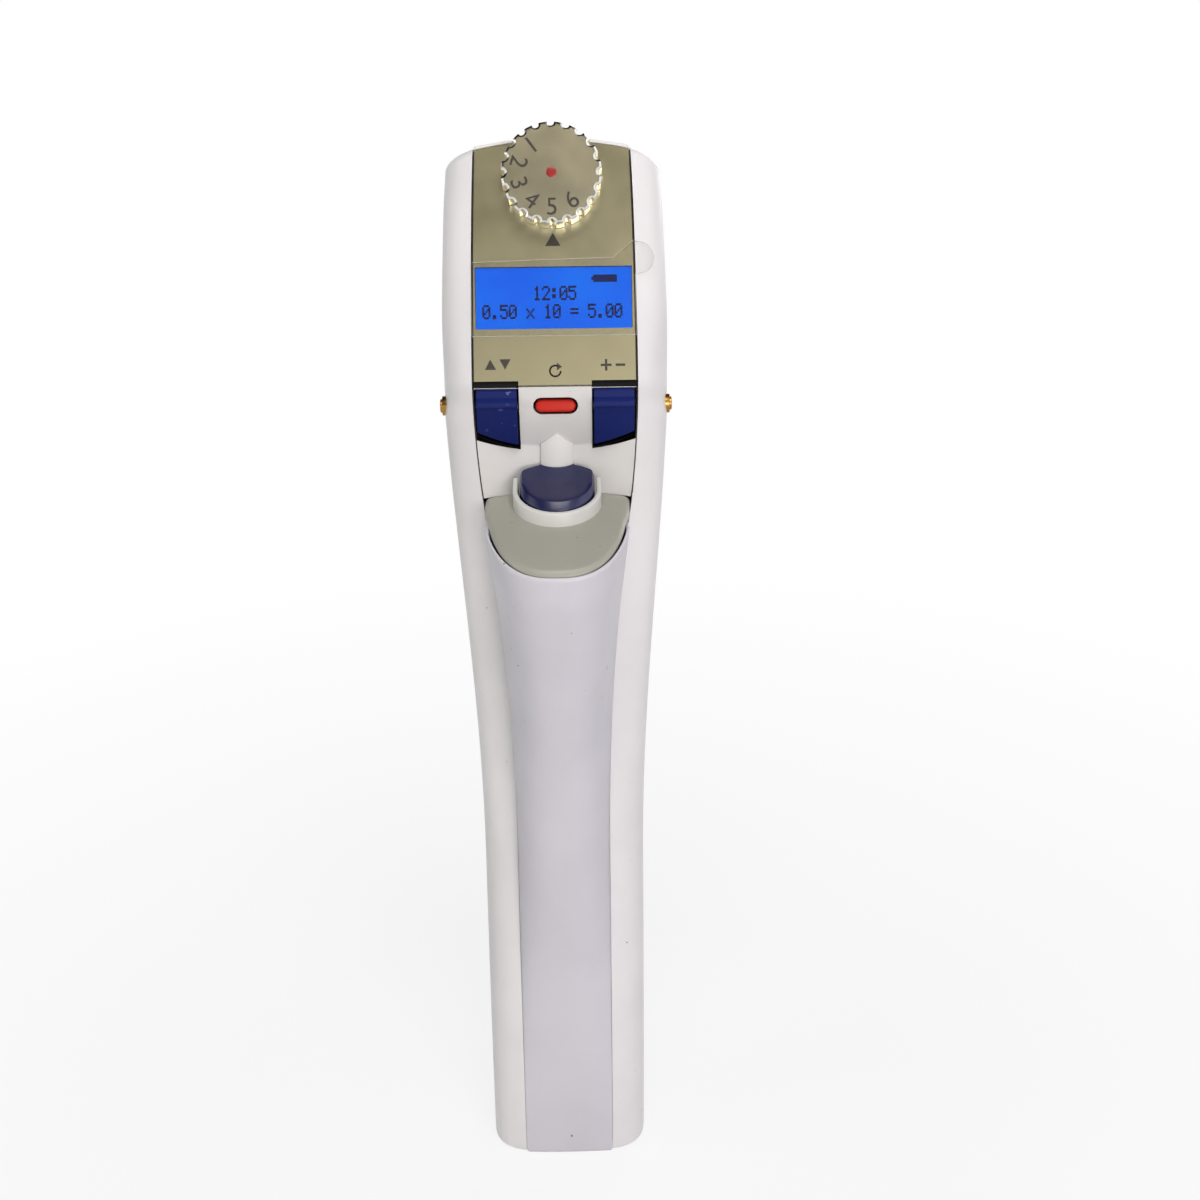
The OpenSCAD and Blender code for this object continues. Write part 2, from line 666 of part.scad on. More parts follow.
// Side view of a rocker key: upper face, ridge, long lower face, and the hub round the axle
key_low_y = fascia_y(13.5, panel_h - 12);
key_profile = [
    [axle_y + 1.8, axle_z + 1.4], [panel_y + 2.6, panel_h - 0.8], [panel_y + 0.9, panel_h - 1.2],
    [panel_y - 0.5, panel_h - 3.2], [panel_y - 1.3, panel_h - 3.9], [panel_y - 1.4, panel_h - 4.9],
    [panel_y - 0.9, panel_h - 5.4], [panel_y - 0.2, panel_h - 9], [key_low_y - 0.2, panel_h - 13],
    [key_low_y + 0.6, panel_h - 16], [key_low_y + 2.4, panel_h - 16], [axle_y + 1.8, axle_z - 2]
];
module rocker_key(side) {
    x0 = side > 0 ? key_in : -key_out;
    color(navy)
        difference() {
            intersection() {
                translate([x0, 0, 0])
                    rotate([90, 0, 90])
                        linear_extrude(key_out - key_in)
                            polygon(key_profile);
                translate([0, -6, key_arc_z])
                    rotate([-90, 0, 0])
                        cylinder(r = key_arc_r - 1.7, h = 40, $fn = 96);
            }
            translate([-40, axle_y, axle_z])
                rotate([0, 90, 0])
                    cylinder(d = axle_d + 2 * run, h = 80);
        }
}
module key_axle(side) {
    color(steel)
        translate([side > 0 ? open_in + 0.1 : -well_out + 0.1, axle_y, axle_z])
            rotate([0, 90, 0])
                cylinder(d = axle_d, h = well_out - open_in - 0.2);
}

// ---- reset key ----

module reset_key() {
    color([0.85, 0.15, 0.08])
        at_reset(-6)
            pill(reset_w, reset_t, 6.1);
}

// ---- thumb shelf with its collar, and the start key ----

shelf_gap = 0.12;
skirt = 9;
edge = 1.1;                              // rounding along the shelf's edge
rear_n = 8;
rear_gap = 0.35;
low_h = shelf_h - edge - eject_travel - 0.25;   // the shelf's edge comes down to here
function wall_y(x) = fascia_y(x, shelf_h - 1);
// The shelf widens where the grip's lip drops away beside it
function widened(p) = [p[0] * (1 + 0.035 * ease((p[1] - side_y - 0.2) / 4)), p[1]];
function shelf_outline(inset) =
    let (h = shelf_h, s = half_s(low_h) - seam_gap / 4 - grip_wall(low_h) - shelf_gap - inset,
         reach = bulge(h) - grip_wall(h) - shelf_gap - inset, c = widened([s, seam_y(h)])[0])
        concat(
            [for (i = [1:grip_steps - 1])
                let (p = grip_point(h, 180 * i / grip_steps, s, reach, seam_y(h))) widened(p)],
            [for (i = [0:rear_n])
                let (x = mix(c, -c, i / rear_n)) [x, wall_y(x) - rear_gap - inset * 0.3]]);
function shelf_ring(inset, drop) = [for (p = shelf_outline(inset)) [p[0], p[1], shelf_top(p[1]) - drop]];
function shrunk(outline, k, drop) = [
    for (p = outline) let (x = p[0] * k, y = start_y - 5 + (p[1] - start_y + 5) * k) [x, y, shelf_top(y) - drop]
];
collar_r = start_r + 0.25 + collar_t;
collar_rear = start_y + 4.9;
lip_z = shelf_h + 3.5;                   // height of the collar's lip at the start key's axis
lip_lean = 13.1;
module u_shape(r, rear) {
    union() {
        intersection() {
            circle(r = r, $fn = 96);
            translate([-r, -r])
                square([2 * r, r]);
        }
        translate([-r, -0.01])
            square([2 * r, rear - start_y]);
    }
}
module collar() {
    low = shelf_top(start_y - collar_r) - 1;
    difference() {
        translate([0, start_y, low])
            linear_extrude(14)
                difference() {
                    u_shape(collar_r, collar_rear);
                    translate([0, 0])
                        u_shape(collar_r - collar_t, collar_rear + 1);
                }
        translate([-20, start_y, lip_z])
            rotate([lip_lean, 0, 0])
                translate([0, -30, 0])
                    cube([40, 60, 20]);
    }
}
rib_clear = 0.3;
skirt_in = 2.2;                          // the skirt tapers in by this much
module rib_cut(margin, low, high) {
    intersection() {
        translate([0, rib_front + rib_r, low])
            cylinder(r = rib_r + margin, h = high - low);
        translate([-rib_w / 2 - margin, rib_front - margin, low])
            cube([rib_w + 2 * margin, 12, high - low]);
    }
}
module thumb_shelf() {
    outer = [
        for (k = [0:3]) shelf_ring(edge * (1 - cos(30 * k)), edge * (1 - sin(30 * k)))
    ];
    inner_low = shelf_ring(skirt_in + 1.5, skirt);
    inner_high = shelf_ring(skirt_in + 1.5, shelf_t);
    color(shelf_grey)
        difference() {
            union() {
                ring_solid(
                    concat([shrunk(shelf_outline(skirt_in + 1.5), 0.5, shelf_t), inner_high, inner_low,
                            shelf_ring(skirt_in, skirt), shelf_ring(0.9, edge + 2.2)], outer,
                           [shrunk(shelf_outline(edge), 0.55, 0)]),
                    [0, start_y - 5, shelf_top(start_y - 5) - shelf_t], [0, start_y - 5, shelf_top(start_y - 5)]);
                collar();
            }
            translate([0, start_y, shelf_h - 20])
                cylinder(d = stem_d + 2 * run, h = 40);
            rib_cut(rib_clear, shelf_h - 25, shelf_h + 20);
        }
}

key_gap = 0.25;                          // between the start key and its collar
key_rear = start_y + 5.3;
key_rear_arc = 13.4;
chamfer = 1.2;
key_lean = 14.9;
key_arc_n = 14;
key_rear_n = 6;
function key_top(y) = shelf_h + 5.1 + (y - start_y) * tan(key_lean);
function key_outline(inset) =
    let (side_x = start_r - 0.35 * inset, corner = key_rear - inset * 0.2)
        concat(
            [for (i = [0:key_arc_n])
                let (a = 180 + 180 * i / key_arc_n, r = start_r - inset * (0.35 - 0.65 * sin(a)))
                    [r * cos(a), start_y + r * sin(a)]],
            [for (i = [0:key_rear_n])
                let (x = mix(side_x, -side_x, i / key_rear_n))
                    [x, corner + sqrt(pow(key_rear_arc, 2) - x * x) - sqrt(pow(key_rear_arc, 2) - side_x * side_x)]]);
function key_ring(inset, drop) = [for (p = key_outline(inset)) [p[0], p[1], key_top(p[1]) - drop]];
function key_low_ring() = [for (p = key_outline(0)) [p[0], p[1], shelf_top(p[1]) + start_travel + 0.5]];
stem_low = shelf_h - 12;
module start_key() {
    color(navy)
        difference() {
            union() {
                ring_solid([key_low_ring(), key_ring(0, chamfer), key_ring(chamfer, 0)],
                    [0, start_y, shelf_top(start_y) + start_travel + 0.5], [0, start_y, key_top(start_y)]);
                translate([0, start_y, stem_low])
                    cylinder(d = stem_d, h = shelf_h + 4 - stem_low);
            }
            rib_cut(rib_clear, shelf_h - 5, shelf_h + 20);
        }
}
switch_t = 3;
switch_top = stem_low - start_travel - 0.5;
module start_switch() {
    color(black)
        union() {
            translate([-6.5, start_y - 6, switch_top - switch_t])
                cube([13, 9.5, switch_t]);
            translate([0, start_y, switch_top - 0.5])
                cylinder(d = 3, h = 0.9);
        }
}

// ---- ejector linkage ----

bar_w = 8;
bar_t = 1.6;
bar_y = -11.1;                           // back face of the push bar
collar_low = 35;
collar_h = 5;
holder_r = socket_r + 2.3;
holder_h = 44;
arm_low = switch_top - switch_t - 1.6;   // the push bar's arm under the start switch
module push_bar() {
    color(steel)
        union() {
            translate([-bar_w / 2, bar_y - bar_t, collar_low])
                cube([bar_w, bar_t, shelf_top(bar_y - bar_t) - shelf_t - 0.2 - collar_low]);
            translate([-bar_w / 2, bar_y - bar_t, arm_low])
                cube([bar_w, start_y + 3.5 - bar_y + bar_t, 1.5]);
        }
}
module release_collar() {
    color(white)
        difference() {
            translate([0, 0, collar_low])
                cylinder(r = holder_r + 2.2, h = collar_h);
            translate([0, 0, collar_low - 1])
                cylinder(r = holder_r + run, h = collar_h + 2);
            translate([-bar_w / 2 - 0.1, bar_y - bar_t - 2, collar_low - 1])
                cube([bar_w + 0.2, bar_t + 2.02, collar_h + 2]);
        }
}
spring_low = 20;
module ejector_spring() {
    color(steel)
        translate([0, 0, spring_low])
            difference() {
                cylinder(r = holder_r + 2.1, h = collar_low - spring_low - 0.1);
                translate([0, 0, -1])
                    cylinder(r = holder_r + 1.1, h = collar_low);
            }
}

// ---- tip holder and its two jaws ----

slot_w = 5.6;
jaw_low = 11.5;
jaw_z = 22;                              // height of the jaws' pivots
jaw_high = collar_low - 0.3;
chamber_r = socket_r + 0.3;
chamber_h = 30.5;
pin_d = 1.1;
pin_l = slot_w + 1.8;
jaw_x = chamber_r + 0.7;
jaw_in = chamber_r + 0.2;                // inner face of the jaws
module tip_holder() {
    color(white)
        difference() {
            union() {
                cylinder(r = holder_r, h = holder_h);
                translate([0, 0, spring_low - 1.2])
                    cylinder(r = holder_r + 2.1, h = 1.1);
            }
            translate([0, 0, -1])
                cylinder(r = socket_r, h = socket_l + 1);
            translate([0, 0, socket_l])
                cylinder(r = chamber_r, h = chamber_h - socket_l);
            translate([0, 0, chamber_h - 1])
                cylinder(d = rod_d + 4, h = holder_h - chamber_h + 2);
            for (side = [-1, 1])
                translate([side * (jaw_in + 2.5) - 5, -slot_w / 2, jaw_low - 0.6])
                    cube([10, slot_w, jaw_high - jaw_low + 1]);
            for (side = [-1, 1])
                translate([side * jaw_x, -slot_w / 2 - 2, jaw_z])
                    rotate([-90, 0, 0])
                        cylinder(d = pin_d + 2 * run, h = slot_w + 4, $fn = 24);
        }
}
// The lower hook holds the tip; the collar pushes the upper nose inwards and so opens the hook
module tip_jaw(side) {
    color(steel)
        union() {
            translate([0, slot_w / 2 - 0.3, 0])
                rotate([90, 0, 0])
                    linear_extrude(slot_w - 0.6)
                        polygon([
                            for (p = [
                                [jaw_in - 0.8, jaw_low], [holder_r - 0.3, jaw_low], [holder_r - 0.3, jaw_high - 3],
                                [holder_r + 0.5, jaw_high - 2.6], [holder_r - 0.1, jaw_high], [jaw_in, jaw_high],
                                [jaw_in, jaw_low + 1.6], [jaw_in - 0.8, jaw_low + 1.1]
                            ]) [side * p[0], p[1]]
                        ]);
            translate([side * jaw_x, -pin_l / 2, jaw_z])
                rotate([-90, 0, 0])
                    cylinder(d = pin_d, h = pin_l, $fn = 24);
        }
}
module base_plate() {
    color(white)
        difference() {
            translate([0, 0, 0.5])
                linear_extrude(1.8)
                    polygon([
                        for (i = [0:35])
                            let (a = 10 * i, e = 2 / 3.7, s = handle_w / 2 - wall - 0.35,
                                 d = sin(a) > 0 ? back_depth - wall - 0.35 : -seam_low - wall - 0.35)
                                [pw(cos(a), e) * s, pw(sin(a), e) * d]
                    ]);
            translate([0, 0, -1])
                cylinder(r = holder_r + 0.02, h = 5);
        }
}

// ---- piston drive ----

rod_low = 31;
rod_high = rod_low + 45;
nut_h = 6;
bearing_z = rod_high + nut_h + stroke + 2;
bearing_t = 3;
coupling_z = bearing_z + bearing_t + 1;
coupling_h = 6;
gearbox_z = coupling_z + coupling_h + 0.3;
gearbox_h = 10;
motor_z = gearbox_z + gearbox_h;
motor_h = arm_low - eject_travel - 0.5 - motor_z;   // the arm stays clear of the motor
module piston_rod() {
    color(steel)
        difference() {
            translate([0, 0, rod_low])
                cylinder(d = rod_d, h = rod_high - rod_low);
            translate([0, 0, rod_high - stroke - 3])
                cylinder(d = screw_d + 0.8, h = stroke + 4);
            translate([0, 0, rod_low - 1])
                cylinder(r = 2.4, h = 6);
        }
}
module drive_nut() {
    color(brass)
        difference() {
            translate([0, 0, rod_high])
                cylinder(d = rod_d + 3, h = nut_h);
            translate([0, 0, rod_high - 1])
                cylinder(d = screw_d + 2 * run, h = nut_h + 2);
        }
}
module lead_screw() {
    color(steel)
        union() {
            translate([0, 0, rod_high - 1])
                cylinder(d = screw_d, h = bearing_z - 0.3 - rod_high + 1);
            translate([0, 0, bearing_z - 1])
                cylinder(d = screw_d - 1, h = coupling_z + 2.5 - bearing_z + 1);
        }
}
bush_z = holder_h;
module guide_bush() {
    color(brass)
        difference() {
            translate([0, 0, bush_z + 0.05])
                cylinder(d = rod_d + 4, h = 5.95);
            translate([0, 0, bush_z - 1])
                cylinder(d = rod_d + 2 * run, h = 8);
        }
}
module screw_bearing() {
    color(steel)
        difference() {
            translate([0, 0, bearing_z])
                cylinder(r = 5.5, h = bearing_t);
            translate([0, 0, bearing_z - 1])
                cylinder(d = screw_d - 1 + 2 * run, h = bearing_t + 2);
        }
}
// The coupling carries the gearbox's output shaft
out_d = 3;
module shaft_coupling() {
    color(brass)
        difference() {
            union() {
                translate([0, 0, coupling_z])
                    cylinder(r = 4, h = coupling_h);
                translate([0, 0, coupling_z + coupling_h - 1])
                    cylinder(d = out_d, h = 5);
            }
            translate([0, 0, coupling_z - 1])
                cylinder(d = screw_d - 1, h = 3.6);
        }
}
module gearbox() {
    color(steel)
        difference() {
            translate([0, 0, gearbox_z])
                cylinder(d = motor_d, h = gearbox_h);
            translate([0, 0, gearbox_z - 1])
                cylinder(d = out_d + 2 * run, h = 6);
        }
}
module motor() {
    color(black)
        intersection() {
            translate([0, 0, motor_z])
                cylinder(d = motor_d, h = motor_h);
            translate([-motor_d / 2 + 0.8, -motor_d, motor_z])
                cube([motor_d - 1.6, 2 * motor_d, motor_h]);
        }
}

// ---- chassis and electronics ----

spine_y = motor_d / 2 + 2.9;
spine_t = 2;
spine_w = motor_d + 2;
spine_high = gearbox_z + gearbox_h;
post_zs = [rod_high + 4, bearing_z - 14];   // posts between the chassis and the shell's back
module chassis() {
    color(black)
        difference() {
            union() {
                translate([-spine_w / 2, spine_y, bush_z + 0.1])
                    cube([spine_w, spine_t, spine_high - bush_z]);
                translate([-spine_w / 2, -8, bush_z + 0.1])
                    cube([spine_w, spine_y + 8.5, 5.8]);
                translate([-spine_w / 2, -8, bearing_z])
                    cube([spine_w, spine_y + 8.5, bearing_t]);
                translate([-spine_w / 2, -motor_d / 2 - 1.6, gearbox_z + 3])
                    cube([spine_w, spine_y + motor_d / 2 + 2, 4]);
                for (z = post_zs)
                    translate([0, spine_y + spine_t - 0.5, z])
                        rotate([-90, 0, 0])
                            cylinder(d = 5, h = back_y(z) - wall - 0.4 - spine_y - spine_t + 0.5);
            }
            translate([0, 0, bush_z - 1])
                cylinder(d = rod_d + 4, h = 8);
            translate([0, 0, bearing_z - 1])
                cylinder(r = 5.5, h = bearing_t + 2);
            translate([0, 0, gearbox_z])
                cylinder(d = motor_d, h = 20);
        }
}
function back_y(z) = seam_y(z) + depth(z);
module main_board() {
    color(board_green)
        difference() {
            translate([-motor_d / 2 - 4, spine_y + spine_t + 0.1, rod_high - 12])
                cube([motor_d + 8, board_t, spine_high + 16 - rod_high]);
            for (z = post_zs)
                translate([0, spine_y, z])
                    rotate([-90, 0, 0])
                        cylinder(d = 5.4, h = 10);
        }
}
pack_front = board_front - board_t - 0.3;
pack_w = head_w - 25.6;
pack_l = panel_len - 28.9;
pack_t = head_depth - 17;
module battery_pack() {
    color([0.2, 0.35, 0.6])
        on_panel()
            translate([-pack_w / 2, cover_low - panel_h + 1.5, pack_front - pack_t])
                cube([pack_w, pack_l, pack_t]);
}

// ---- charging contacts ----

contact_y = 15;
contact_z = panel_h - 7.8;
contact_d = 4.7;
contact_out = 1.1;
function cheek_x() = half_w(panel_h - 3) - 0.1;
module contact_bore(side) {
    translate([side > 0 ? cheek_x() - 5 : -cheek_x() - 3, contact_y, contact_z])
        rotate([0, 90, 0])
            cylinder(d = contact_d + 0.2, h = 8);
}
module charge_contact(side) {
    color(brass)
        translate([0, contact_y, contact_z])
            rotate([0, side * 90, 0])
                union() {
                    translate([0, 0, cheek_x() - wall - 0.6])
                        cylinder(d = contact_d, h = wall + 0.6 + contact_out * 0.55);
                    translate([0, 0, cheek_x()])
                        cylinder(d = contact_d - 1.4, h = contact_out);
                }
}

rear_shell();
front_grip();
head_front();
control_panel();
display_window();
lcd_module();
lcd_holder();
screen_film();
mode_dial();
dial_face();
dial_dot();
dial_shaft();
encoder();
display_board();
key_well(-1);  // left_key_well
key_well(1);  // right_key_well
rocker_key(-1);  // select_key
rocker_key(1);  // adjust_key
key_axle(-1);  // left_axle
key_axle(1);  // right_axle
reset_key();
start_key();
start_switch();
thumb_shelf();
push_bar();
release_collar();
ejector_spring();
tip_holder();
tip_jaw(-1);  // left_jaw
tip_jaw(1);  // right_jaw
base_plate();
piston_rod();
drive_nut();
lead_screw();
guide_bush();
screw_bearing();
shaft_coupling();
gearbox();
motor();
chassis();
main_board();
battery_pack();
battery_cover();
charge_contact(-1);  // left_contact
charge_contact(1);  // right_contact
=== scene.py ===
from math import acos, atan2, copysign, cos, degrees, hypot, pi, radians as rad, sin, sqrt, tan

import bmesh
import bpy
from numpy import arange, linspace, mean
from mathutils import Matrix, Vector


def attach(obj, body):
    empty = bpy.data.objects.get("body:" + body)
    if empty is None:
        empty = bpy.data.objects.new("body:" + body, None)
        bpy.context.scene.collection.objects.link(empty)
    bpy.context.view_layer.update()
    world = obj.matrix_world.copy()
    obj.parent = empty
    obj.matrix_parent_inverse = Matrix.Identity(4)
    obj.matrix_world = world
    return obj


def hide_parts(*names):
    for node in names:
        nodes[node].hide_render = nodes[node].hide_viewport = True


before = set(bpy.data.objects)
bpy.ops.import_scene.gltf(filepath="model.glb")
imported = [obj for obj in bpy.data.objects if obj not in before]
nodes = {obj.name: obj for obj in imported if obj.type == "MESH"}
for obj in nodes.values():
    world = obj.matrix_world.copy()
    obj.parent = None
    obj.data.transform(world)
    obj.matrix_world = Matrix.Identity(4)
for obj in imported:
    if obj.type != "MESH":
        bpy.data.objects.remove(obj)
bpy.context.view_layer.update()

# ---------- sizes, in millimetres

SHELF_H = 181.0
HANDLE_W = 41.0
FRONT_DEPTH = 15.4
BACK_DEPTH = 15.0
NECK_BACK = 25.5
SEAM_NECK = 5.1
SEAM_LOW = -14.55
GRIP_W = 23.2
GRIP_TOP_W = 35.4
SHELF_REACH = 25.5
WALL = 2.0
PANEL_H = 208.8
PANEL_LEN = 56.9
PANEL_Y = SEAM_NECK - 0.7
LEAN = 21.4
HEAD_W = 53.6
HEAD_DEPTH = 26.0
PANEL_W = 38.2
ARCH_R = 82.0
REST_REACH = 13.0
PLATE_T = 1.0
TOP_H = PANEL_H + PANEL_LEN
EDGE_R = 2.2
RIM_R = 1.2
TOP_T = 1.0
OPEN_H = TOP_H - EDGE_R - TOP_T
COVER_LOW = PANEL_H + 15
COVER_HIGH = TOP_H - 10.9
CARRIER_BACK = 3.4
SEAM_GAP = 0.4

WINDOW_L = 14.3
WINDOW_Q = 20.15
DIAL_R = 11.5
DIAL_T = 7.0
DIAL_Q = 47.4
NOTCHES = 20
NOTCH_R = 0.8

KEY_IN, KEY_OUT = 9.0, 18.4
RESET_W, RESET_T = 9.4, 2.9
RESET_Z = PANEL_H - 5.3
RESET_LEAN = 12.0
START_R, START_Y = 9.0, 1.0
START_TRAVEL = 1.6
COLLAR_T = 1.2
EJECT_TRAVEL = 2.0
CONTACT_Y, CONTACT_Z, CONTACT_D, CONTACT_OUT = 15.0, PANEL_H - 7.8, 4.7, 1.1

MM = 0.001

# the heights between which the body's form changes, and by how much
NECK_START, NECK_END = SHELF_H + 7, PANEL_H + 4
REST_LOW, REST_RISE, REST_FALL = PANEL_H - 2.8, 6.0, 19.0
REST_COVER = 2.4
WIDEN_START, WIDEN_END = 84.0, PANEL_H + 10
TAPER_START, TOP_TAPER, PANEL_TAPER = 12.0, 1.6, 1.1
GRIP_WIDEN_START = 90.0
ROUND_FOOT, ROUND_WAIST, ROUND_HEAD = 3.7, 2.8, 3.3


# ---------- the body's form

def clamp01(t):
    return min(1.0, max(0.0, t))


def ease(t):
    c = clamp01(t)
    return c * c * (3 - 2 * c)


def swing(t):
    return (1 - cos(pi * clamp01(t))) / 2


def mix(a, b, t):
    return a + (b - a) * t


def pw(a, e):
    return copysign(abs(a) ** e, a)


def seam_y(h):
    if h <= SHELF_H:
        return mix(SEAM_LOW, SEAM_NECK, swing((max(h, 0) / SHELF_H) ** 1.3))
    if h < PANEL_H:
        return mix(SEAM_NECK, PANEL_Y, (h - SHELF_H) / (PANEL_H - SHELF_H))
    return PANEL_Y + (h - PANEL_H) * sin(rad(LEAN))


def seam_z(h):
    return h if h < PANEL_H else PANEL_H + (h - PANEL_H) * cos(rad(LEAN))


def tilt(h):
    return LEAN * ease((h - NECK_START) / (NECK_END - NECK_START))


def rest_form(h):
    return ease((h - REST_LOW) / REST_RISE + 1) * (1 - ease((h - REST_LOW - 3) / REST_FALL))


def base_depth(h):
    if h <= SHELF_H:
        return mix(BACK_DEPTH, NECK_BACK, ease(h / (SHELF_H + 9))) - seam_y(h)
    return mix(NECK_BACK - SEAM_NECK, HEAD_DEPTH, ease((h - SHELF_H) / (PANEL_H + 6 - SHELF_H)))


def depth(h, inset=0.0):
    form = min(rest_form(h), rest_form(h - REST_COVER)) if inset > 0 else rest_form(h)
    return base_depth(h) - inset + REST_REACH * form


def half_w(h):
    taper = clamp01((h - PANEL_H - TAPER_START) / (PANEL_LEN - TAPER_START)) ** 1.5
    wider = swing((h - WIDEN_START) / (WIDEN_END - WIDEN_START))
    return HANDLE_W / 2 + (HEAD_W - HANDLE_W) / 2 * wider - TOP_TAPER * taper


def half_s(h):
    if h <= SHELF_H:
        wider = clamp01((h - GRIP_WIDEN_START) / (SHELF_H - GRIP_WIDEN_START)) ** 2
        return GRIP_W / 2 + (GRIP_TOP_W - GRIP_W) / 2 * wider
    if h < PANEL_H:
        return mix(GRIP_TOP_W, PANEL_W, 1 - ((PANEL_H - h) / (PANEL_H - SHELF_H)) ** 2) / 2
    return PANEL_W / 2 - PANEL_TAPER * ((h - PANEL_H) / PANEL_LEN) ** 2


def roundness(h):
    if h <= SHELF_H:
        return mix(ROUND_FOOT, ROUND_WAIST, ease(h / 110))
    return mix(ROUND_WAIST, ROUND_HEAD, ease((h - SHELF_H) / 30))


def seam_slit(h):
    """Half of the visible gap between the rear shell and what it borders."""
    return mix(0.06, SEAM_GAP / 2, ease((h - SHELF_H + 12) / 12))


def mid_v(h):
    return depth(h) / 2


def front_semi(h):
    return mid_v(h) / (1 - (half_s(h) / half_w(h)) ** roundness(h)) ** (1 / roundness(h))


def seam_angle(h, inset):
    x = (half_s(h) + seam_slit(h)) / (half_w(h) - inset)
    return degrees(acos(x ** (roundness(h) / 2)))


def section(h, a, inset, back):
    e, c, s = 2 / roundness(h), cos(rad(a)), sin(rad(a))
    x = pw(c, e) * (half_w(h) - inset)
    if s > 0:
        return x, mid_v(h) - (front_semi(h) - inset) * pw(s, e)
    return x, mid_v(h) + (back - mid_v(h)) * pw(-s, e)


def crown(x, h):
    return x * x / (2 * ARCH_R) * ease((h - TOP_H + 16) / 16)


def place(h, x, v):
    g = h - crown(x, h)
    t = rad(tilt(g))
    return x, seam_y(g) + v * cos(t), seam_z(g) - v * sin(t)


def leaning_frame(lean, y, z):
    """Axes of a face that leans back: x across, y up along it, z out of it."""
    c, s = cos(rad(lean)), sin(rad(lean))
    return Matrix(((1, 0, 0, 0), (0, s, -c, y * MM), (0, c, s, z * MM), (0, 0, 0, 1)))


PANEL_FRAME = leaning_frame(LEAN, PANEL_Y, PANEL_H)  # points on the panel are x, q up the panel, height over it
CHEEK = half_w(PANEL_H - 3) - 0.1  # the cheek's outside at the contacts


# ---------- materials

def tree(name):
    m = bpy.data.materials.new(name)
    m.use_nodes = True
    return m, m.node_tree, m.node_tree.nodes["Principled BSDF"]


def constants(node, **values):
    """Sets constants on a node's inputs; each _ stands for a space in the input's name."""
    for name, value in values.items():
        node.inputs[name.replace("_", " ")].default_value = value
    return node


def add(t, kind, **values):
    return constants(t.nodes.new("ShaderNode" + kind), **values)


def link(t, a, out, b, inp):
    t.links.new(a.outputs[out], b.inputs[inp])


def maths(t, operation, *values):
    """A maths node on numbers and (node, output) pairs."""
    m = add(t, "Math")
    m.operation = operation
    for k, v in enumerate(values):
        if isinstance(v, tuple):
            link(t, *v, m, k)
        else:
            m.inputs[k].default_value = v
    return m


def coords(t, stretch=(1, 1, 1)):
    m = add(t, "Mapping", Scale=stretch)
    link(t, add(t, "TexCoord"), "Object", m, "Vector")
    return m


def noise(t, where, scale, detail=3.0, rough=0.55):
    n = add(t, "TexNoise", Scale=scale, Detail=detail, Roughness=rough)
    link(t, where, "Vector", n, "Vector")
    return n


def ramp(t, source, low, first, high, last):
    """Two colours, or two grey levels, spread over a noise between its values low and high."""
    r = add(t, "ValToRGB")
    for element, position, v in zip(r.color_ramp.elements, (low, high), (first, last)):
        element.position = position
        element.color = (*v, 1) if isinstance(v, tuple) else (v, v, v, 1)
    link(t, source, "Fac", r, "Fac")
    return r


def blend_colour(t, share, tone, colour, bsdf, socket):
    """Mixes a fixed colour into a ramp's, by the share that a (node, output) pair gives."""
    m = add(t, "Mix")
    m.data_type = "RGBA"
    link(t, *share, m, 0)
    link(t, tone, "Color", m, 6)
    m.inputs[7].default_value = (*colour, 1)
    link(t, m, 2, bsdf, socket)


def bump(t, bsdf, height, strength, distance):
    b = add(t, "Bump", Strength=strength, Distance=distance)
    link(t, height, "Fac", b, "Height")
    link(t, b, "Normal", bsdf, "Normal")


def srgb(r, g, b):
    return tuple(v / 12.92 if v <= 0.04045 else ((v + 0.055) / 1.055) ** 2.4 for v in (r / 255, g / 255, b / 255))


def plastic(name, col, shade, rough=0.42, grain=2600, grain_strength=0.25, speck=(0.10, 0.07, 0.05), specks=0.79,
            spec=0.45):
    """Moulded plastic: faint tone change, fine texture, and a few small marks from use."""
    m, t, b = tree(name)
    c = coords(t)
    tone = ramp(t, noise(t, c, 26, 4), 0.35, col, 0.68, shade)
    dots = ramp(t, noise(t, c, 760, 1, 0.3), specks, 0, specks + 0.025, 1)
    patch = ramp(t, noise(t, c, 34, 2), 0.5, 0, 0.62, 1)
    marks = maths(t, "MULTIPLY", (dots, "Color"), (patch, "Color"))
    blend_colour(t, (marks, 0), tone, speck, b, "Base Color")
    smear = ramp(t, noise(t, c, 90, 5, 0.65), 0.3, rough - 0.05, 0.7, rough + 0.07)
    link(t, smear, "Color", b, "Roughness")
    constants(b, Specular_IOR_Level=spec)
    bump(t, b, noise(t, c, grain, 2, 0.6), grain_strength, 0.00004)
    return m


def metal(name, col, shade, rough, grain, grain_strength, spread, stretch=(1, 1, 1)):
    """Metal in sRGB colours with a fine grain, and a shine that varies a little over its face."""
    m, t, b = tree(name)
    fine = noise(t, coords(t, stretch), grain, 4, 0.7)
    link(t, ramp(t, fine, 0.3, srgb(*col), 0.72, srgb(*shade)), "Color", b, "Base Color")
    constants(b, Metallic=1.0)
    shine = ramp(t, noise(t, coords(t), 120, 4, 0.6), 0.3, rough - spread / 2, 0.7, rough + spread)
    link(t, shine, "Color", b, "Roughness")
    bump(t, b, fine, grain_strength, 0.00002)
    return m


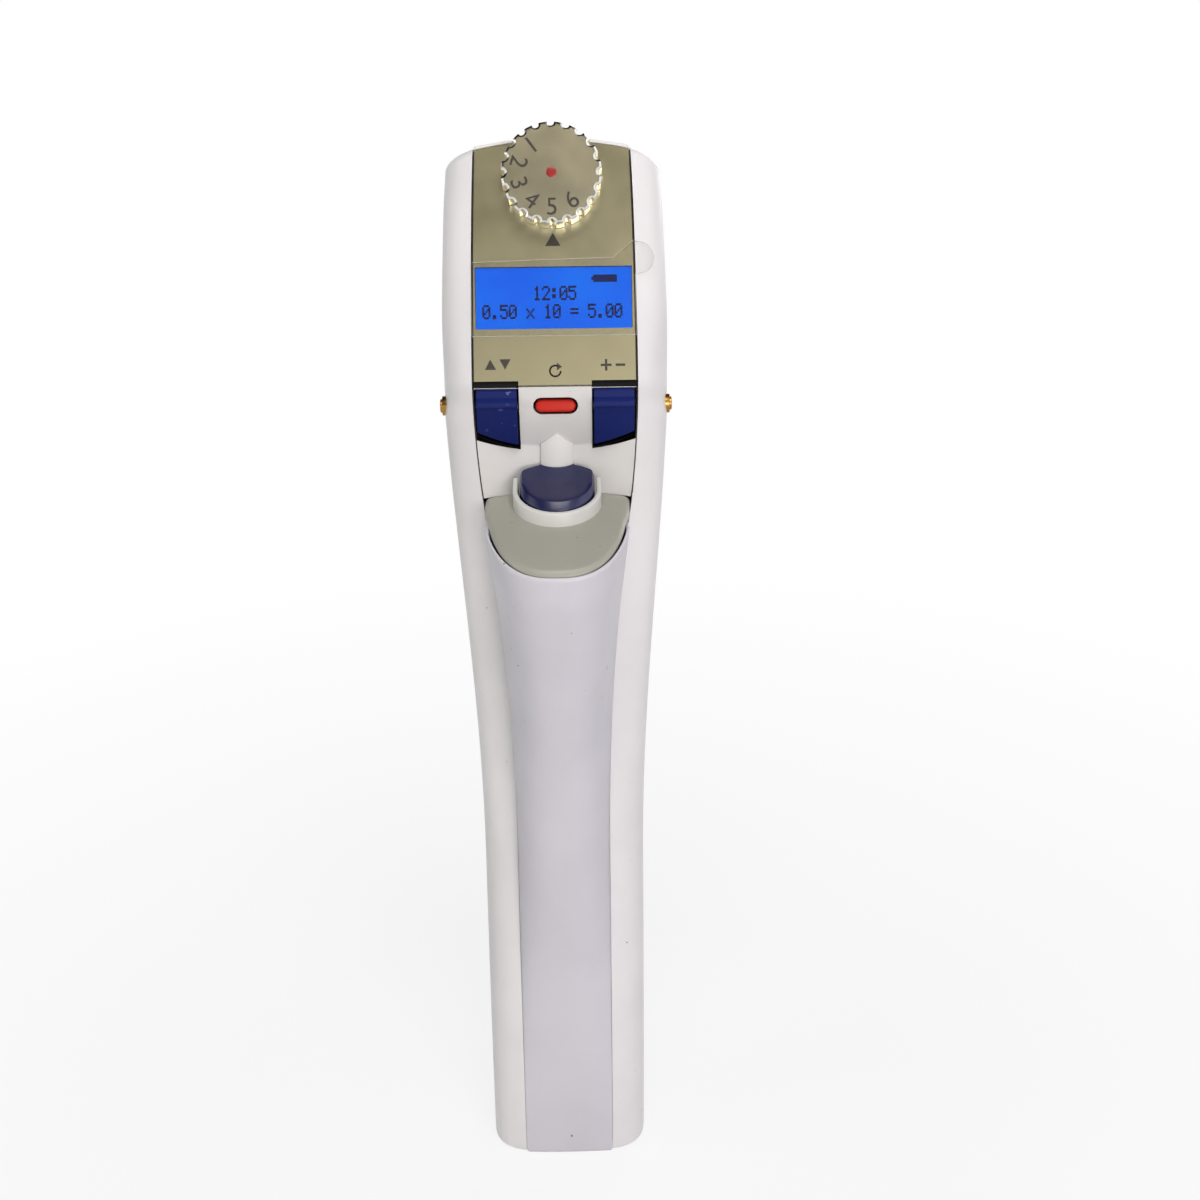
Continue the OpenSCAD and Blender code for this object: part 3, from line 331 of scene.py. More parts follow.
M_SHELL = plastic("shell_white_plastic", srgb(219, 216, 216), srgb(209, 206, 208), 0.38, spec=0.35)
# partly the grip's own lilac white, partly painted shade: it is darker than the shell for the shade on its forward,
# downward face
M_GRIP = plastic("grip_white_and_painted_shade", srgb(199, 196, 203), srgb(190, 187, 194), 0.4, spec=0.35)
M_FRONT = plastic("head_front_plastic", srgb(218, 215, 212), srgb(208, 205, 202), 0.42, spec=0.35)
# painted shade: the shelf's grey is the darker tone that its upward face takes where less light falls on it
M_SHELF = plastic("shelf_grey_painted_shade", srgb(156, 154, 143), srgb(149, 147, 136), 0.38, specks=0.77, spec=0.45)
M_COLLAR = plastic("collar_plastic", srgb(203, 202, 197), srgb(193, 192, 188), 0.35)
M_NAVY = plastic("navy_key_plastic", srgb(18, 32, 96), srgb(14, 26, 82), 0.46, grain=1800, grain_strength=0.5,
                 speck=(0.12, 0.14, 0.30), specks=0.72, spec=0.12)
M_START = plastic("navy_start_plastic", srgb(17, 20, 70), srgb(14, 17, 60), 0.3, grain=1500, grain_strength=0.2,
                  speck=(0.10, 0.12, 0.25), spec=0.5)
M_RED = plastic("reset_red_plastic", srgb(188, 26, 4), srgb(172, 20, 3), 0.44, grain=1500,
                speck=(0.35, 0.05, 0.02), spec=0.25)
# black plastic of the dark parts, and painted shade on the start collar's inner wall
M_BLACK_AND_SHADE = plastic("black_plastic_and_painted_shade", (0.004, 0.004, 0.005), (0.007, 0.007, 0.008), 0.6,
                  speck=(0.03, 0.03, 0.03), spec=0.08)
# painted shade: a dark brown that stands in for the shadow deep in the gaps beside the wall and the panel
M_SEAM_SHADE = plastic("seam_painted_shade", srgb(70, 60, 52), srgb(48, 42, 38), 0.8, speck=(0.02, 0.02, 0.02))
M_HOLDER = plastic("holder_white_plastic", srgb(212, 212, 212), srgb(202, 202, 204), 0.42)
M_CELL = plastic("battery_wrap", srgb(45, 75, 130), srgb(38, 66, 118), 0.38, speck=(0.2, 0.2, 0.25))
M_DOT = plastic("dial_dot_paint", srgb(150, 22, 18), srgb(128, 16, 13), 0.3, grain=1500, speck=(0.2, 0.02, 0.02))

TURNED = (1, 1, 0.06)  # grain of a part turned on a lathe, drawn out along it
M_PANEL = metal("panel_champagne_metal", (179, 169, 133), (172, 162, 127), 0.24, 5200, 0.05, 0.03)
M_FACE = metal("dial_face_metal", (187, 177, 146), (180, 170, 140), 0.24, 5200, 0.05, 0.03)
M_CHROME = metal("dial_chrome", (226, 224, 218), (206, 204, 198), 0.16, 600, 0.08, 0.08)
M_GOLD = metal("contact_gold", (176, 136, 74), (146, 108, 54), 0.3, 700, 0.1, 0.08)
M_STEEL = metal("machined_steel", (186, 188, 192), (160, 162, 168), 0.3, 900, 0.15, 0.08, TURNED)
M_BRASS = metal("machined_brass", (208, 176, 104), (184, 150, 82), 0.3, 900, 0.15, 0.08, TURNED)


def print_ink(name, col):
    m, t, b = tree(name)
    n = noise(t, coords(t), 3200, 3, 0.6)
    paler = tuple(v * 1.35 + 0.01 for v in col)
    link(t, ramp(t, n, 0.3, col, 0.75, paler), "Color", b, "Base Color")
    constants(b, Roughness=0.6, Specular_IOR_Level=0.1)
    bump(t, b, n, 0.1, 0.00001)
    return m


def board_material():
    m, t, b = tree("circuit_board")
    c = coords(t)
    tone = ramp(t, noise(t, c, 60), 0.3, srgb(22, 84, 46), 0.7, srgb(18, 70, 40))
    tracks = add(t, "TexBrick", Scale=260, Mortar_Size=0.03)
    link(t, c, "Vector", tracks, "Vector")
    blend_colour(t, (tracks, "Fac"), tone, srgb(60, 128, 74), b, "Base Color")
    constants(b, Roughness=0.35)
    bump(t, b, tracks, 0.3, 0.00004)
    return m


def lcd_material():
    """Blue backlit screen, lit slightly unevenly, with a faint cell grid."""
    m, t, b = tree("lcd_blue_light")
    tone = ramp(t, noise(t, coords(t), 60, 2), 0.3, srgb(2, 98, 246), 0.7, srgb(6, 116, 255))
    grid = add(t, "TexBrick", Scale=1600, Mortar_Size=0.04, Brick_Width=0.5, Row_Height=0.5)
    grid.offset = 0.0
    link(t, add(t, "TexCoord"), "Object", grid, "Vector")
    faint = maths(t, "MULTIPLY", (grid, "Fac"), 0.12)
    blend_colour(t, (faint, 0), tone, srgb(40, 140, 255), b, "Emission Color")
    constants(b, Emission_Strength=0.86, Base_Color=(*srgb(0, 10, 50), 1), Specular_IOR_Level=0.1, Roughness=0.35)
    bump(t, b, grid, 0.05, 0.00001)
    return m


def clear_material(name, tint, alpha, rough):
    m, t, b = tree(name)
    n = noise(t, coords(t), 220)
    link(t, ramp(t, n, 0.3, tint, 0.7, tuple(v * 0.96 for v in tint)), "Color", b, "Base Color")
    link(t, ramp(t, n, 0.3, rough, 0.7, rough + 0.05), "Color", b, "Roughness")
    constants(b, Alpha=alpha)
    bump(t, b, n, 0.04, 0.00002)
    return m


M_INK = print_ink("dark_grey_ink", srgb(62, 58, 52))
M_LCD_INK = print_ink("lcd_dark_cells", (0.0, 0.003, 0.045))
M_BOARD = board_material()
M_LCD = lcd_material()
M_WINDOW = clear_material("window_clear", srgb(30, 90, 240), 0.012, 0.08)
M_FILM = clear_material("film_clear", srgb(120, 118, 112), 0.03, 0.14)
# painted highlight: a light, half-clear colour for the bright line that the film's cut edge catches
M_FILM_HIGHLIGHT = clear_material("film_edge", srgb(196, 193, 184), 0.55, 0.2)

CAD_LOOKS = (
    (M_STEEL, "dial_shaft encoder left_axle right_axle push_bar ejector_spring left_jaw right_jaw piston_rod "
              "lead_screw screw_bearing gearbox"),
    (M_BRASS, "drive_nut guide_bush shaft_coupling"),
    (M_BLACK_AND_SHADE, "lcd_holder left_key_well right_key_well start_switch motor chassis"),
    (M_BOARD, "display_board main_board"),
    (M_HOLDER, "release_collar tip_holder"),
    (M_FRONT, "base_plate head_front"),
    (M_SHELL, "battery_cover rear_shell"),
    (M_GOLD, "left_contact right_contact"),
    (M_NAVY, "select_key adjust_key"),
    (M_PANEL, "control_panel"), (M_WINDOW, "display_window"), (M_LCD, "lcd_module"), (M_FILM, "screen_film"),
    (M_DOT, "dial_dot"), (M_FACE, "dial_face"), (M_CHROME, "mode_dial"), (M_CELL, "battery_pack"),
    (M_GRIP, "front_grip"), (M_RED, "reset_key"), (M_START, "start_key"), (M_SHELF, "thumb_shelf"),
)
for material, node_names in CAD_LOOKS:
    for node_name in node_names.split():
        nodes[node_name].data.materials.clear()
        nodes[node_name].data.materials.append(material)


# ---------- mesh helpers

def finish_mesh(obj, smooth=38.0):
    """Smooth shading, with edges sharper than the given angle kept sharp."""
    bm = bmesh.new()
    bm.from_mesh(obj.data)
    bmesh.ops.remove_doubles(bm, verts=bm.verts, dist=1e-7)
    bmesh.ops.recalc_face_normals(bm, faces=bm.faces)
    for f in bm.faces:
        f.smooth = True
    for e in bm.edges:
        e.smooth = not (len(e.link_faces) == 2 and e.calc_face_angle(0) > rad(smooth))
    bm.to_mesh(obj.data)
    bm.free()


def add_object(name, data):
    o = bpy.data.objects.new(name, data)
    bpy.context.scene.collection.objects.link(o)
    return o


def add_mesh(name, verts, faces, matrix):
    """An object with a mesh given in millimetres, laid into place by the matrix."""
    me = bpy.data.meshes.new(name)
    me.from_pydata([(x * MM, y * MM, z * MM) for x, y, z in verts], [], faces)
    me.validate()
    if matrix is not None:
        me.transform(matrix)
    return add_object(name, me)


def soften(obj, width, segments=3, angle=40.0):
    """Rounds the edges that are sharper than the given angle."""
    b = obj.modifiers.new("edges", "BEVEL")
    b.width, b.segments = width * MM, segments
    b.limit_method, b.angle_limit = "ANGLE", rad(angle)


def dress(obj, body="housing"):
    """obj moves with the body; one called after a CAD node, with _dressed behind, is shown in place of it."""
    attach(obj, body)
    node, dressed, _ = obj.name.partition("_dressed")
    if dressed:
        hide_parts(node)


def make(name, verts, faces, mat, slot=None, body="housing", smooth=38.0, bevel=None, matrix=None, angle=40.0):
    o = add_mesh(name, verts, faces, matrix)
    o.data.materials.append(mat)
    finish_mesh(o, smooth)
    if bevel:
        soften(o, bevel, angle=angle)
    if slot:
        dress(o, body)
    return o


def ring_faces(n, m, closed=True, wrapped=False):
    """Faces between m rings of n points; closed joins a ring's two ends, wrapped the last ring to the first."""
    out = []
    for j in range(m if wrapped else m - 1):
        for i in range(n if closed else n - 1):
            low, high, k = j * n, (j + 1) % m * n, (i + 1) % n
            out.append((low + i, low + k, high + k, high + i))
    return out


def strip_cap(n, first, up):
    out = []
    for i in range(n // 2 - 1):
        a, b, c, d = first + i, first + i + 1, first + n - 2 - i, first + n - 1 - i
        out.append((a, d, c, b) if up else (a, b, c, d))
    return out


def strip_solid(name, rings, *args, **kw):
    """Solid from rings that each run out along one side and back along the other, with flat strips as its ends."""
    n, m = len(rings[0]), len(rings)
    faces = ring_faces(n, m) + strip_cap(n, 0, False) + strip_cap(n, (m - 1) * n, True)
    return make(name, sum(rings, []), faces, *args, **kw)


def ring_solid(name, rings, *args, low=None, high=None, **kw):
    """Solid from rings, closed at each end by a fan round low or high, or else round the end ring's middle."""
    n, m = len(rings[0]), len(rings)
    ends = [p or tuple(mean(ring, 0)) for p, ring in ((low, rings[0]), (high, rings[-1]))]
    faces = ring_faces(n, m)
    faces += [((i + 1) % n, i, n * m) for i in range(n)]
    faces += [((m - 1) * n + i, (m - 1) * n + (i + 1) % n, n * m + 1) for i in range(n)]
    return make(name, sum(rings, []) + ends, faces, *args, **kw)


def slabs(outlines, low, high):
    """Corners and faces of flat plates, one for each outline, between two heights."""
    verts, faces = [], []
    for outline in outlines:
        b, n = len(verts), len(outline)
        verts += [(x, y, z) for z in (low, high) for x, y in outline]
        faces += [tuple(range(b + n - 1, b - 1, -1)), tuple(range(b + n, b + 2 * n))]
        faces += [(b + i, b + (i + 1) % n, b + n + (i + 1) % n, b + n + i) for i in range(n)]
    return verts, faces


def panel_plates(name, outlines, low, high, mat, slot, **kw):
    """One piece of flat plates that lie on the panel or parallel to it."""
    return make(name, *slabs(outlines, low, high), mat, slot, matrix=PANEL_FRAME, **kw)


def evaluated_mesh(obj):
    return bpy.data.meshes.new_from_object(obj.evaluated_get(bpy.context.evaluated_depsgraph_get()))


def cut(obj, outline, low, high, matrix):
    """Takes a prism, from an outline between two heights, out of obj for good."""
    cutter = add_mesh("cutter", *slabs([outline], low, high), matrix)
    finish_mesh(cutter)
    b = obj.modifiers.new("cut", "BOOLEAN")
    b.operation, b.solver, b.object = "DIFFERENCE", "EXACT", cutter
    me = evaluated_mesh(obj)
    obj.modifiers.clear()
    old, obj.data = obj.data, me
    me.name = old.name
    bpy.data.meshes.remove(old)
    bpy.data.objects.remove(cutter)


def polar(r, a, cx=0.0, cy=0.0):
    return cx + r * cos(a), cy + r * sin(a)


def mirrored(points):
    return [(-x, y) for x, y in reversed(points)]


def rectangle(x0, x1, y0, y1):
    return [(x0, y0), (x1, y0), (x1, y1), (x0, y1)]


def circle_points(r, n, cx=0.0, cy=0.0):
    return [polar(r, 2 * pi * i / n, cx, cy) for i in range(n)]


def fillet(r, steps):
    """Distances in from a corner's two sides along its rounded edge."""
    turn = linspace(0, pi / 2, steps + 1)
    return [(r * (1 - cos(a)), r * (1 - sin(a))) for a in turn]


# ---------- rear shell

ARC = 96  # steps round the shell
OPEN_FROM, OPEN_TO = ARC // 3, 2 * ARC // 3  # those that the battery cover takes up
SIDE_TURN = Matrix(((0, 0, 1, 0), (1, 0, 0, CONTACT_Y * MM), (0, 1, 0, CONTACT_Z * MM), (0, 0, 0, 1)))


def shell_row(h, inset, back):
    """Section of the shell at a height, from seam to seam round its back."""
    a0 = seam_angle(h, inset)
    return [section(h, a0 - (180 + 2 * a0) * i / ARC, inset, back) for i in range(ARC + 1)]


def shell_outside(h, inset):
    out = []
    for i, (x, v) in enumerate(shell_row(h, inset, depth(h) - inset)):
        if i in (0, ARC):
            x = copysign(half_s(h) + seam_slit(h), x)
        out.append(place(h, x, max(v, inset * 0.3 if inset > RIM_R else 0)))
    return out


def shell_inside(h):
    return [place(h, x, v) for x, v in reversed(shell_row(h, WALL, depth(h, WALL)))]


def shell_front(h):
    return [place(h, (half_s(h) + SEAM_GAP / 2) * (1 - 2 * i / ARC), CARRIER_BACK + 0.3) for i in range(ARC, -1, -1)]


def build_shell():
    """Rear shell: open where the battery cover sits, with a hole for the contact in each cheek."""
    hs = [*arange(3.0, SHELF_H + 1, 3.0), *arange(SHELF_H + 2.0, COVER_LOW - 0.4, 1.1),
          *linspace(COVER_LOW, COVER_HIGH, 17), *linspace(COVER_HIGH, OPEN_H, 5)[1:]]
    rows = [(u, v, False) for u, v in fillet(RIM_R, 6)] + [(h, 0.0, False) for h in hs]
    rows += [(OPEN_H + 0.6, 0.0, True)] + [(TOP_H - v, u, True) for u, v in fillet(EDGE_R, 8)]
    rings = [shell_outside(h, i) + (shell_front(h) if top else shell_inside(h)) for h, i, top in rows]
    n, m = len(rings[0]), len(rings)
    heights = [row[0] for row in rows]
    j0, j1 = heights.index(COVER_LOW), heights.index(COVER_HIGH)

    def in_opening(j, c):
        return OPEN_FROM <= (c if c < ARC else 2 * ARC - c) < OPEN_TO and j0 <= j < j1

    def edge_face(j, c, k, d):
        """Face of the wall's thickness, from row j, column c to row k, column d."""
        return j * n + c, k * n + d, k * n + n - 1 - d, j * n + n - 1 - c
    faces = [f for f in ring_faces(n, m) if not in_opening(*divmod(f[0], n))]
    for j in range(j0, j1):
        faces += [edge_face(j, OPEN_FROM, j + 1, OPEN_FROM), edge_face(j + 1, OPEN_TO, j, OPEN_TO)]
    for c in range(OPEN_FROM, OPEN_TO):
        faces += [edge_face(j0, c + 1, j0, c), edge_face(j1, c, j1, c + 1)]
    faces += strip_cap(n, 0, False) + strip_cap(n, (m - 1) * n, True)
    shell = make("rear_shell_dressed", sum(rings, []), faces, M_SHELL)
    for side in (-1, 1):
        low, high = sorted((side * (CHEEK - 5), side * (CHEEK + 3)))
        cut(shell, circle_points(CONTACT_D / 2 + 0.1, 48), low, high, SIDE_TURN)
    finish_mesh(shell, 40)
    soften(shell, 0.16, 2, 55)
    dress(shell)


build_shell()

COVER_GAP, COVER_TRIM = 0.18, 0.5  # room above and below the cover, and the angle left free at its sides
CATCH_HALF, CATCH_H, CATCH_OUT = 7.0, 0.42, 0.26


def build_cover():
    """Battery cover: fills the opening with a thin seam, and has a thumb catch of three ribs."""
    def around(h):
        rows = []
        for inset, sunk in ((0.0, 0.05), (WALL, 0.0)):
            a0 = seam_angle(h, inset)
            step = (180 + 2 * a0) / ARC
            ends = a0 - step * OPEN_FROM - COVER_TRIM, a0 - step * OPEN_TO + COVER_TRIM
            row = [section(h, a, inset, depth(h, inset)) for a in linspace(*ends, 41)]
            rows.append([place(h, x, v - sunk) for x, v in row])
        return rows[0] + rows[1][::-1]
    hs = linspace(COVER_LOW, COVER_HIGH, 31)
    hs[0] += COVER_GAP
    hs[-1] -= COVER_GAP
    strip_solid("battery_cover_dressed", [around(h) for h in hs], M_SHELL, "white_shell", bevel=0.2, angle=50)
    for k in range(3):
        h = mix(COVER_LOW, COVER_HIGH, 0.80 + 0.055 * k)
        rings = []
        for x in linspace(-CATCH_HALF, CATCH_HALF, 25):
            a = -degrees(acos(pw(x / half_w(h), roundness(h) / 2)))
            full = 0.15 + 0.85 * sqrt(max(0.0, 1 - (x / CATCH_HALF) ** 6))
            ring = []
            for c, s in circle_points(1, 12):
                g = h + CATCH_H * c
                v = section(g, a, 0, depth(g))[1]
                ring.append(place(g, x, v + CATCH_OUT * s * full - 0.12))
            rings.append(ring)
        ring_solid("cover_catch_%d" % (k + 1), rings, M_SHELL, "white_shell")


build_cover()


# ---------- front grip

LIP_DROP = 1.1
LIP_WALL = 0.5
SIDE_DROP = 4.6
SIDE_Y = -7.4
SHELF_DROP, SHELF_SLOPE, SHELF_CURVE = 0.25, 0.03, 0.0068  # the shelf's top falls away to the front
SHELF_SQUARE = 0.35  # how much squarer the bulge gets towards the thumb shelf


def grip_wall(h):
    return mix(WALL, LIP_WALL, ease((h - SHELF_H + 24) / 16))


def grip_front(h):
    return -FRONT_DEPTH - (SHELF_REACH - FRONT_DEPTH) * clamp01(h / (SHELF_H - 8)) ** 1.6


def bulge(h):
    return seam_y(h) - grip_front(h)


def shelf_top(y):
    d = max(SEAM_NECK - y, 0)
    return SHELF_H - SHELF_DROP - SHELF_SLOPE * d - SHELF_CURVE * d * d


def grip_z(h, y):
    return (h - (SHELF_H - (shelf_top(y) - LIP_DROP)) * ease((h - SHELF_H + 36) / 36)
            - SIDE_DROP * ease((y - SIDE_Y) / 1.6) * ease((h - SHELF_H + 16) / 16))


def grip_point(h, a, s, reach, back):
    x = -cos(rad(a))
    squarer = SHELF_SQUARE * ease((h - 120) / 50)
    side = mix(2, 2.3, ease(h / 120)) + squarer
    front = mix(1.4, 2.3, ease(h / 120)) + squarer
    return x * s, back - reach * max(1 - abs(x) ** side, 0) ** (1 / front)


# closer together at the bulge's two ends
GRIP_ANGLES = [90 + 90 * copysign(abs(t) ** 0.8, t) for t in linspace(-1, 1, 97)]


def grip_ring(h, inset):
    s = half_s(h) - 0.02 - 0.08 * ease((h - SHELF_H + 12) / 12) - inset
    t, y0 = grip_wall(h), seam_y(h)
    s_in, y_lap = s - t + inset, y0 + mix(WALL, LIP_WALL, ease((h - SHELF_H + 24) / 10))
    outer = [grip_point(h, a, s, bulge(h) - inset, y0) for a in GRIP_ANGLES]
    inner = [grip_point(h, a, s_in, bulge(h) - t, y0) for a in reversed(GRIP_ANGLES)]
    inner = [(x, max(y, grip_front(h) + t)) for x, y in inner]
    out = []
    for x, y in [(-s, y_lap), *outer, (s, y_lap), (s_in, y_lap), *inner, (-s_in, y_lap)]:
        z = grip_z(h, y)
        k = half_s(mix(h, min(h, z), ease((y - SIDE_Y) / 1.6))) / half_s(h)
        out.append((x * k, y, z))
    return out


grip_hs = [*arange(4.0, SHELF_H - 24, 3.0), *arange(SHELF_H - 24, SHELF_H - 0.3, 1.1)]
grip_rows = [(u, 0.7 * v) for u, v in fillet(RIM_R, 5)] + [(h, 0.0) for h in grip_hs]
grip_rows += [(SHELF_H - 0.12, 0.06), (SHELF_H, 0.2)]
strip_solid("front_grip_dressed", [grip_ring(h, i) for h, i in grip_rows], M_GRIP, "white_shell", smooth=50)


# ---------- head front: wall, fascia and guide rib

SCOOP = 4.9
WALL_MID = SEAM_NECK + SCOOP
BLOCK_BACK = WALL_MID + 2.4
CREASE_H = SHELF_H + 11.4
OPEN_IN = KEY_IN - 0.5
OPEN_TOP = PANEL_H + 1
ARC_R, ARC_Z = 40.6, PANEL_H + 22.7
RIB_W, RIB_R = 7.74, 6.0
RIB_FRONT = WALL_MID - 2.4
RIB_PEAK = CREASE_H + 3.65
RIB_SHOULDER = RIB_PEAK - 3.05
TONGUE_LOW = SHELF_H - 15
BLOCK_HIGH = PANEL_H - 0.5


def crease(x):
    return CREASE_H + 3.3 * (x / 18.5) ** 2


def hollow(x, z):
    t = clamp01((PANEL_H - 0.4 - z) / (PANEL_H - 0.4 - crease(x)))
    return SCOOP * t ** 1.8


def fascia_y(x, z):
    return seam_y(z) + 0.3 + hollow(x, z) * (1 - (x / 18.6) ** 2)


def arch_q(x, q):
    return q - x * x / (2 * ARCH_R)


def panel_outline(low, high, slack, steps=24):
    """Outline between the seams on the panel, right side first, then the arched top, then the left side."""
    right = [(half_s(PANEL_H + q) - slack, q) for q in linspace(low, high - 2.2, steps)]
    x_top = half_s(PANEL_H + high) - slack
    top = [(x_top * k / steps, arch_q(x_top * k / steps, high)) for k in range(steps, -steps - 1, -1)]
    return right + top + mirrored(right)


FRONT_TURN = Matrix(((1, 0, 0, 0), (0, 0, 1, 0), (0, 1, 0, 0), (0, 0, 0, 1)))  # outline in x and z, depth in y


def opening_outline(side):
    """One key opening in the front view: straight inside edge, open outer side, arc below."""
    x_out = half_s(PANEL_H) + 1
    pts = [(OPEN_IN, OPEN_TOP), (x_out, OPEN_TOP)]
    pts += [(x, ARC_Z - sqrt(ARC_R * ARC_R - x * x)) for x in linspace(x_out, OPEN_IN, 30)]
    return [(side * x, z) for x, z in pts]


RESET_FRAME = leaning_frame(RESET_LEAN, fascia_y(0, RESET_Z), RESET_Z)


def pill_outline(w, t, n=16):
    r, c = t / 2, (w - t) / 2
    right = [polar(r, a, c) for a in linspace(-pi / 2, pi / 2, n)]
    return right + [(-x, -y) for x, y in right]


def build_head_front():
    """Wall, fascia and tongue in one block, with openings for the keys whose sides are black."""
    rings = []
    rows = [(z, 2.6) for z in linspace(TONGUE_LOW, SHELF_H - 0.4, 8)]
    rows += [(z, SEAM_GAP / 4) for z in linspace(SHELF_H - 0.35, BLOCK_HIGH, 80)]
    for z, slack in rows:
        s = half_s(z) - slack
        xs = linspace(-s, s, 65)
        rings.append([(x, fascia_y(x, z), z) for x in xs] + [(x, BLOCK_BACK, z) for x in xs[::-1]])
    block = strip_solid("head_front_dressed", rings, M_FRONT, smooth=35)
    block.data.materials.append(M_BLACK_AND_SHADE)
    for side in (-1, 1):
        cut(block, opening_outline(side), -5, BLOCK_BACK + 3, FRONT_TURN)
    cut(block, pill_outline(RESET_W + 1.1, RESET_T + 1.1), -12, 4, RESET_FRAME)
    for f in block.data.polygons:
        x, z = f.center.x / MM, f.center.z / MM
        on_side = abs(abs(x) - OPEN_IN) < 0.02
        on_arc = abs(x) > OPEN_IN and abs(hypot(x, z - ARC_Z) - ARC_R) < 0.03
        if abs(f.normal.y) < 0.3 and z > ARC_Z - ARC_R and (on_side or on_arc):
            f.material_index = 1
    finish_mesh(block, 32)
    soften(block, 0.22, 3, 42)
    dress(block)


build_head_front()


def rib_arc(x, margin):
    """Front of the rib, or of what passes round it with a margin."""
    r = RIB_R + margin
    return RIB_FRONT + RIB_R - sqrt(r * r - x * x)


def build_rib():
    """The rounded guide rib that the start key slides along, ending above in a gable."""
    xs = linspace(-RIB_W / 2, RIB_W / 2, 28)
    outline = [(x, rib_arc(x, 0)) for x in xs] + [(x, BLOCK_BACK - 1) for x in xs[::-1]]
    rings = [[(x, y, z) for x, y in outline] for z in linspace(TONGUE_LOW + 1, RIB_SHOULDER - 0.5, 30)]
    slope = (RIB_PEAK - RIB_SHOULDER) / (RIB_W / 2)
    rings.append([(x, y, RIB_PEAK - slope * abs(x)) for x, y in outline])
    strip_solid("guide_rib", rings, M_FRONT, "white_front", bevel=0.2, smooth=35)


build_rib()


def build_carrier():
    """White plate and top lip round the control panel, and a dark plate of painted shade that shows as a thin line in
    the gap beside it.
    """
    slack = SEAM_GAP / 4
    panel_plates("panel_carrier", [panel_outline(-0.6, PANEL_LEN - 0.05, slack)], 0.3 - CARRIER_BACK, -PLATE_T - 0.35,
                 M_FRONT, "white_front", bevel=0.1)
    # painted shade: this dark plate stands in for the shadow in the gap round the panel
    panel_plates("panel_gap_shade", [panel_outline(0.1, PANEL_LEN - 0.9, 0.02)], -PLATE_T - 0.3, -PLATE_T - 0.04,
                 M_SEAM_SHADE, "black_plastic")
    for side, word in ((-1, "left"), (1, "right")):
        x0, x1 = sorted((side * OPEN_IN, side * (half_s(PANEL_H) - 0.1)))
        panel_plates(word + "_well_lintel", [rectangle(x0, x1, -0.4, 1.0)], -CARRIER_BACK,
                     -PLATE_T + 0.3, M_BLACK_AND_SHADE, "black_plastic", bevel=0.1)
    x_top = half_s(TOP_H) - slack
    xs = [x_top * k / 24 for k in range(-24, 25)]
    outline = [(x, arch_q(x, PANEL_LEN - 0.78)) for x in xs] + [(x, arch_q(x, PANEL_LEN)) for x in xs[::-1]]
    panel_plates("top_lip", [outline], 0.7 - CARRIER_BACK, 0.0, M_FRONT, "white_front", bevel=0.25)


build_carrier()

SEAM_IN, SEAM_OUT, SEAM_SUNK, SEAM_BACK = 0.09, 0.19, 0.55, 1.2


def seam_strip(name, side):
    """Painted shade: a dark strip deep in the seam beside the wall, so that the gap reads as a thin dark line of
    shadow.
    """
    rings = []
    for h in linspace(SHELF_H + 0.5, PANEL_H - 0.8, 50):
        s, y = half_s(h), seam_y(h) + SEAM_SUNK
        x0, x1 = sorted((side * (s - SEAM_IN), side * (s + SEAM_OUT)))
        rings.append([(x, y, h) for x, y in rectangle(x0, x1, y, y + SEAM_BACK)])
    strip_solid(name, rings, M_SEAM_SHADE, "black_plastic")


seam_strip("left_wall_seam_shade", -1)
seam_strip("right_wall_seam_shade", 1)


# ---------- control panel print

INK_T = 0.03
SIGN_Q = 4.9  # how far up the panel the keys' signs stand


def sign(name, shapes):
    panel_plates(name, shapes, 0.0, INK_T, M_INK, "black_plastic")


def bar(x, q, w, h):
    return rectangle(x - w / 2, x + w / 2, q - h / 2, q + h / 2)


def arrow(x, q, w, h):
    """Triangle that points up, or down where h is negative."""
    return [(x - w / 2, q - h / 2), (x + w / 2, q - h / 2), (x, q + h / 2)]


def ring_arrow(x, q, r, w):
    """Open ring with an arrowhead: the usual sign for starting again."""
    turn = linspace(rad(60), rad(360), 41)
    inside, outside = ([polar(radius, a, x, q) for a in turn] for radius in (r - w / 2, r + w / 2))
    shapes = [[a, b, c, d] for a, b, c, d in zip(inside, outside, outside[1:], inside[1:])]
    hx, hq = polar(r, turn[0], x, q)
    return shapes + [[(hx - 0.25, hq - 0.95), (hx + 0.95, hq - 0.12), (hx - 0.2, hq + 0.85)]]


sign("select_arrows", [arrow(-14.9, SIGN_Q, 2.6, 2.4), arrow(-11.5, SIGN_Q, 2.6, -2.4)])
sign("adjust_plus_minus", [bar(11.9, 4.5, 2.5, 0.55), bar(11.9, 5.3, 0.55, 1.05), bar(11.9, 3.7, 0.55, 1.05),
                           bar(15.2, 4.5, 2.2, 0.55)])
sign("reset_ring_arrow", ring_arrow(0.1, 3.25, 1.25, 0.42))
sign("dial_pointer_mark", [[(-1.8, 32.0), (1.8, 32.0), (0.0, 35.0)]])


# ---------- display

GLYPHS = {
    "0": ".###. #...# #..## #.#.# ##..# #...# .###.",
    "1": "..#.. .##.. ..#.. ..#.. ..#.. ..#.. .###.",
    "2": ".###. #...# ....# ...#. ..#.. .#... #####",
    "5": "##### #.... ####. ....# ....# #...# .###.",
    ".": "..... ..... ..... ..... ..... .##.. .##..",
    ":": "..... .##.. .##.. ..... .##.. .##.. .....",
    "x": "..... ..... #...# .#.#. ..#.. .#.#. #...#",
    "=": "..... ..... ##### ..... ##### ..... .....",
    " ": "",
}
CHAR_PITCH, DOT, DOT_H = 2.04, 0.36, 0.47
LCD_OUT = -0.99


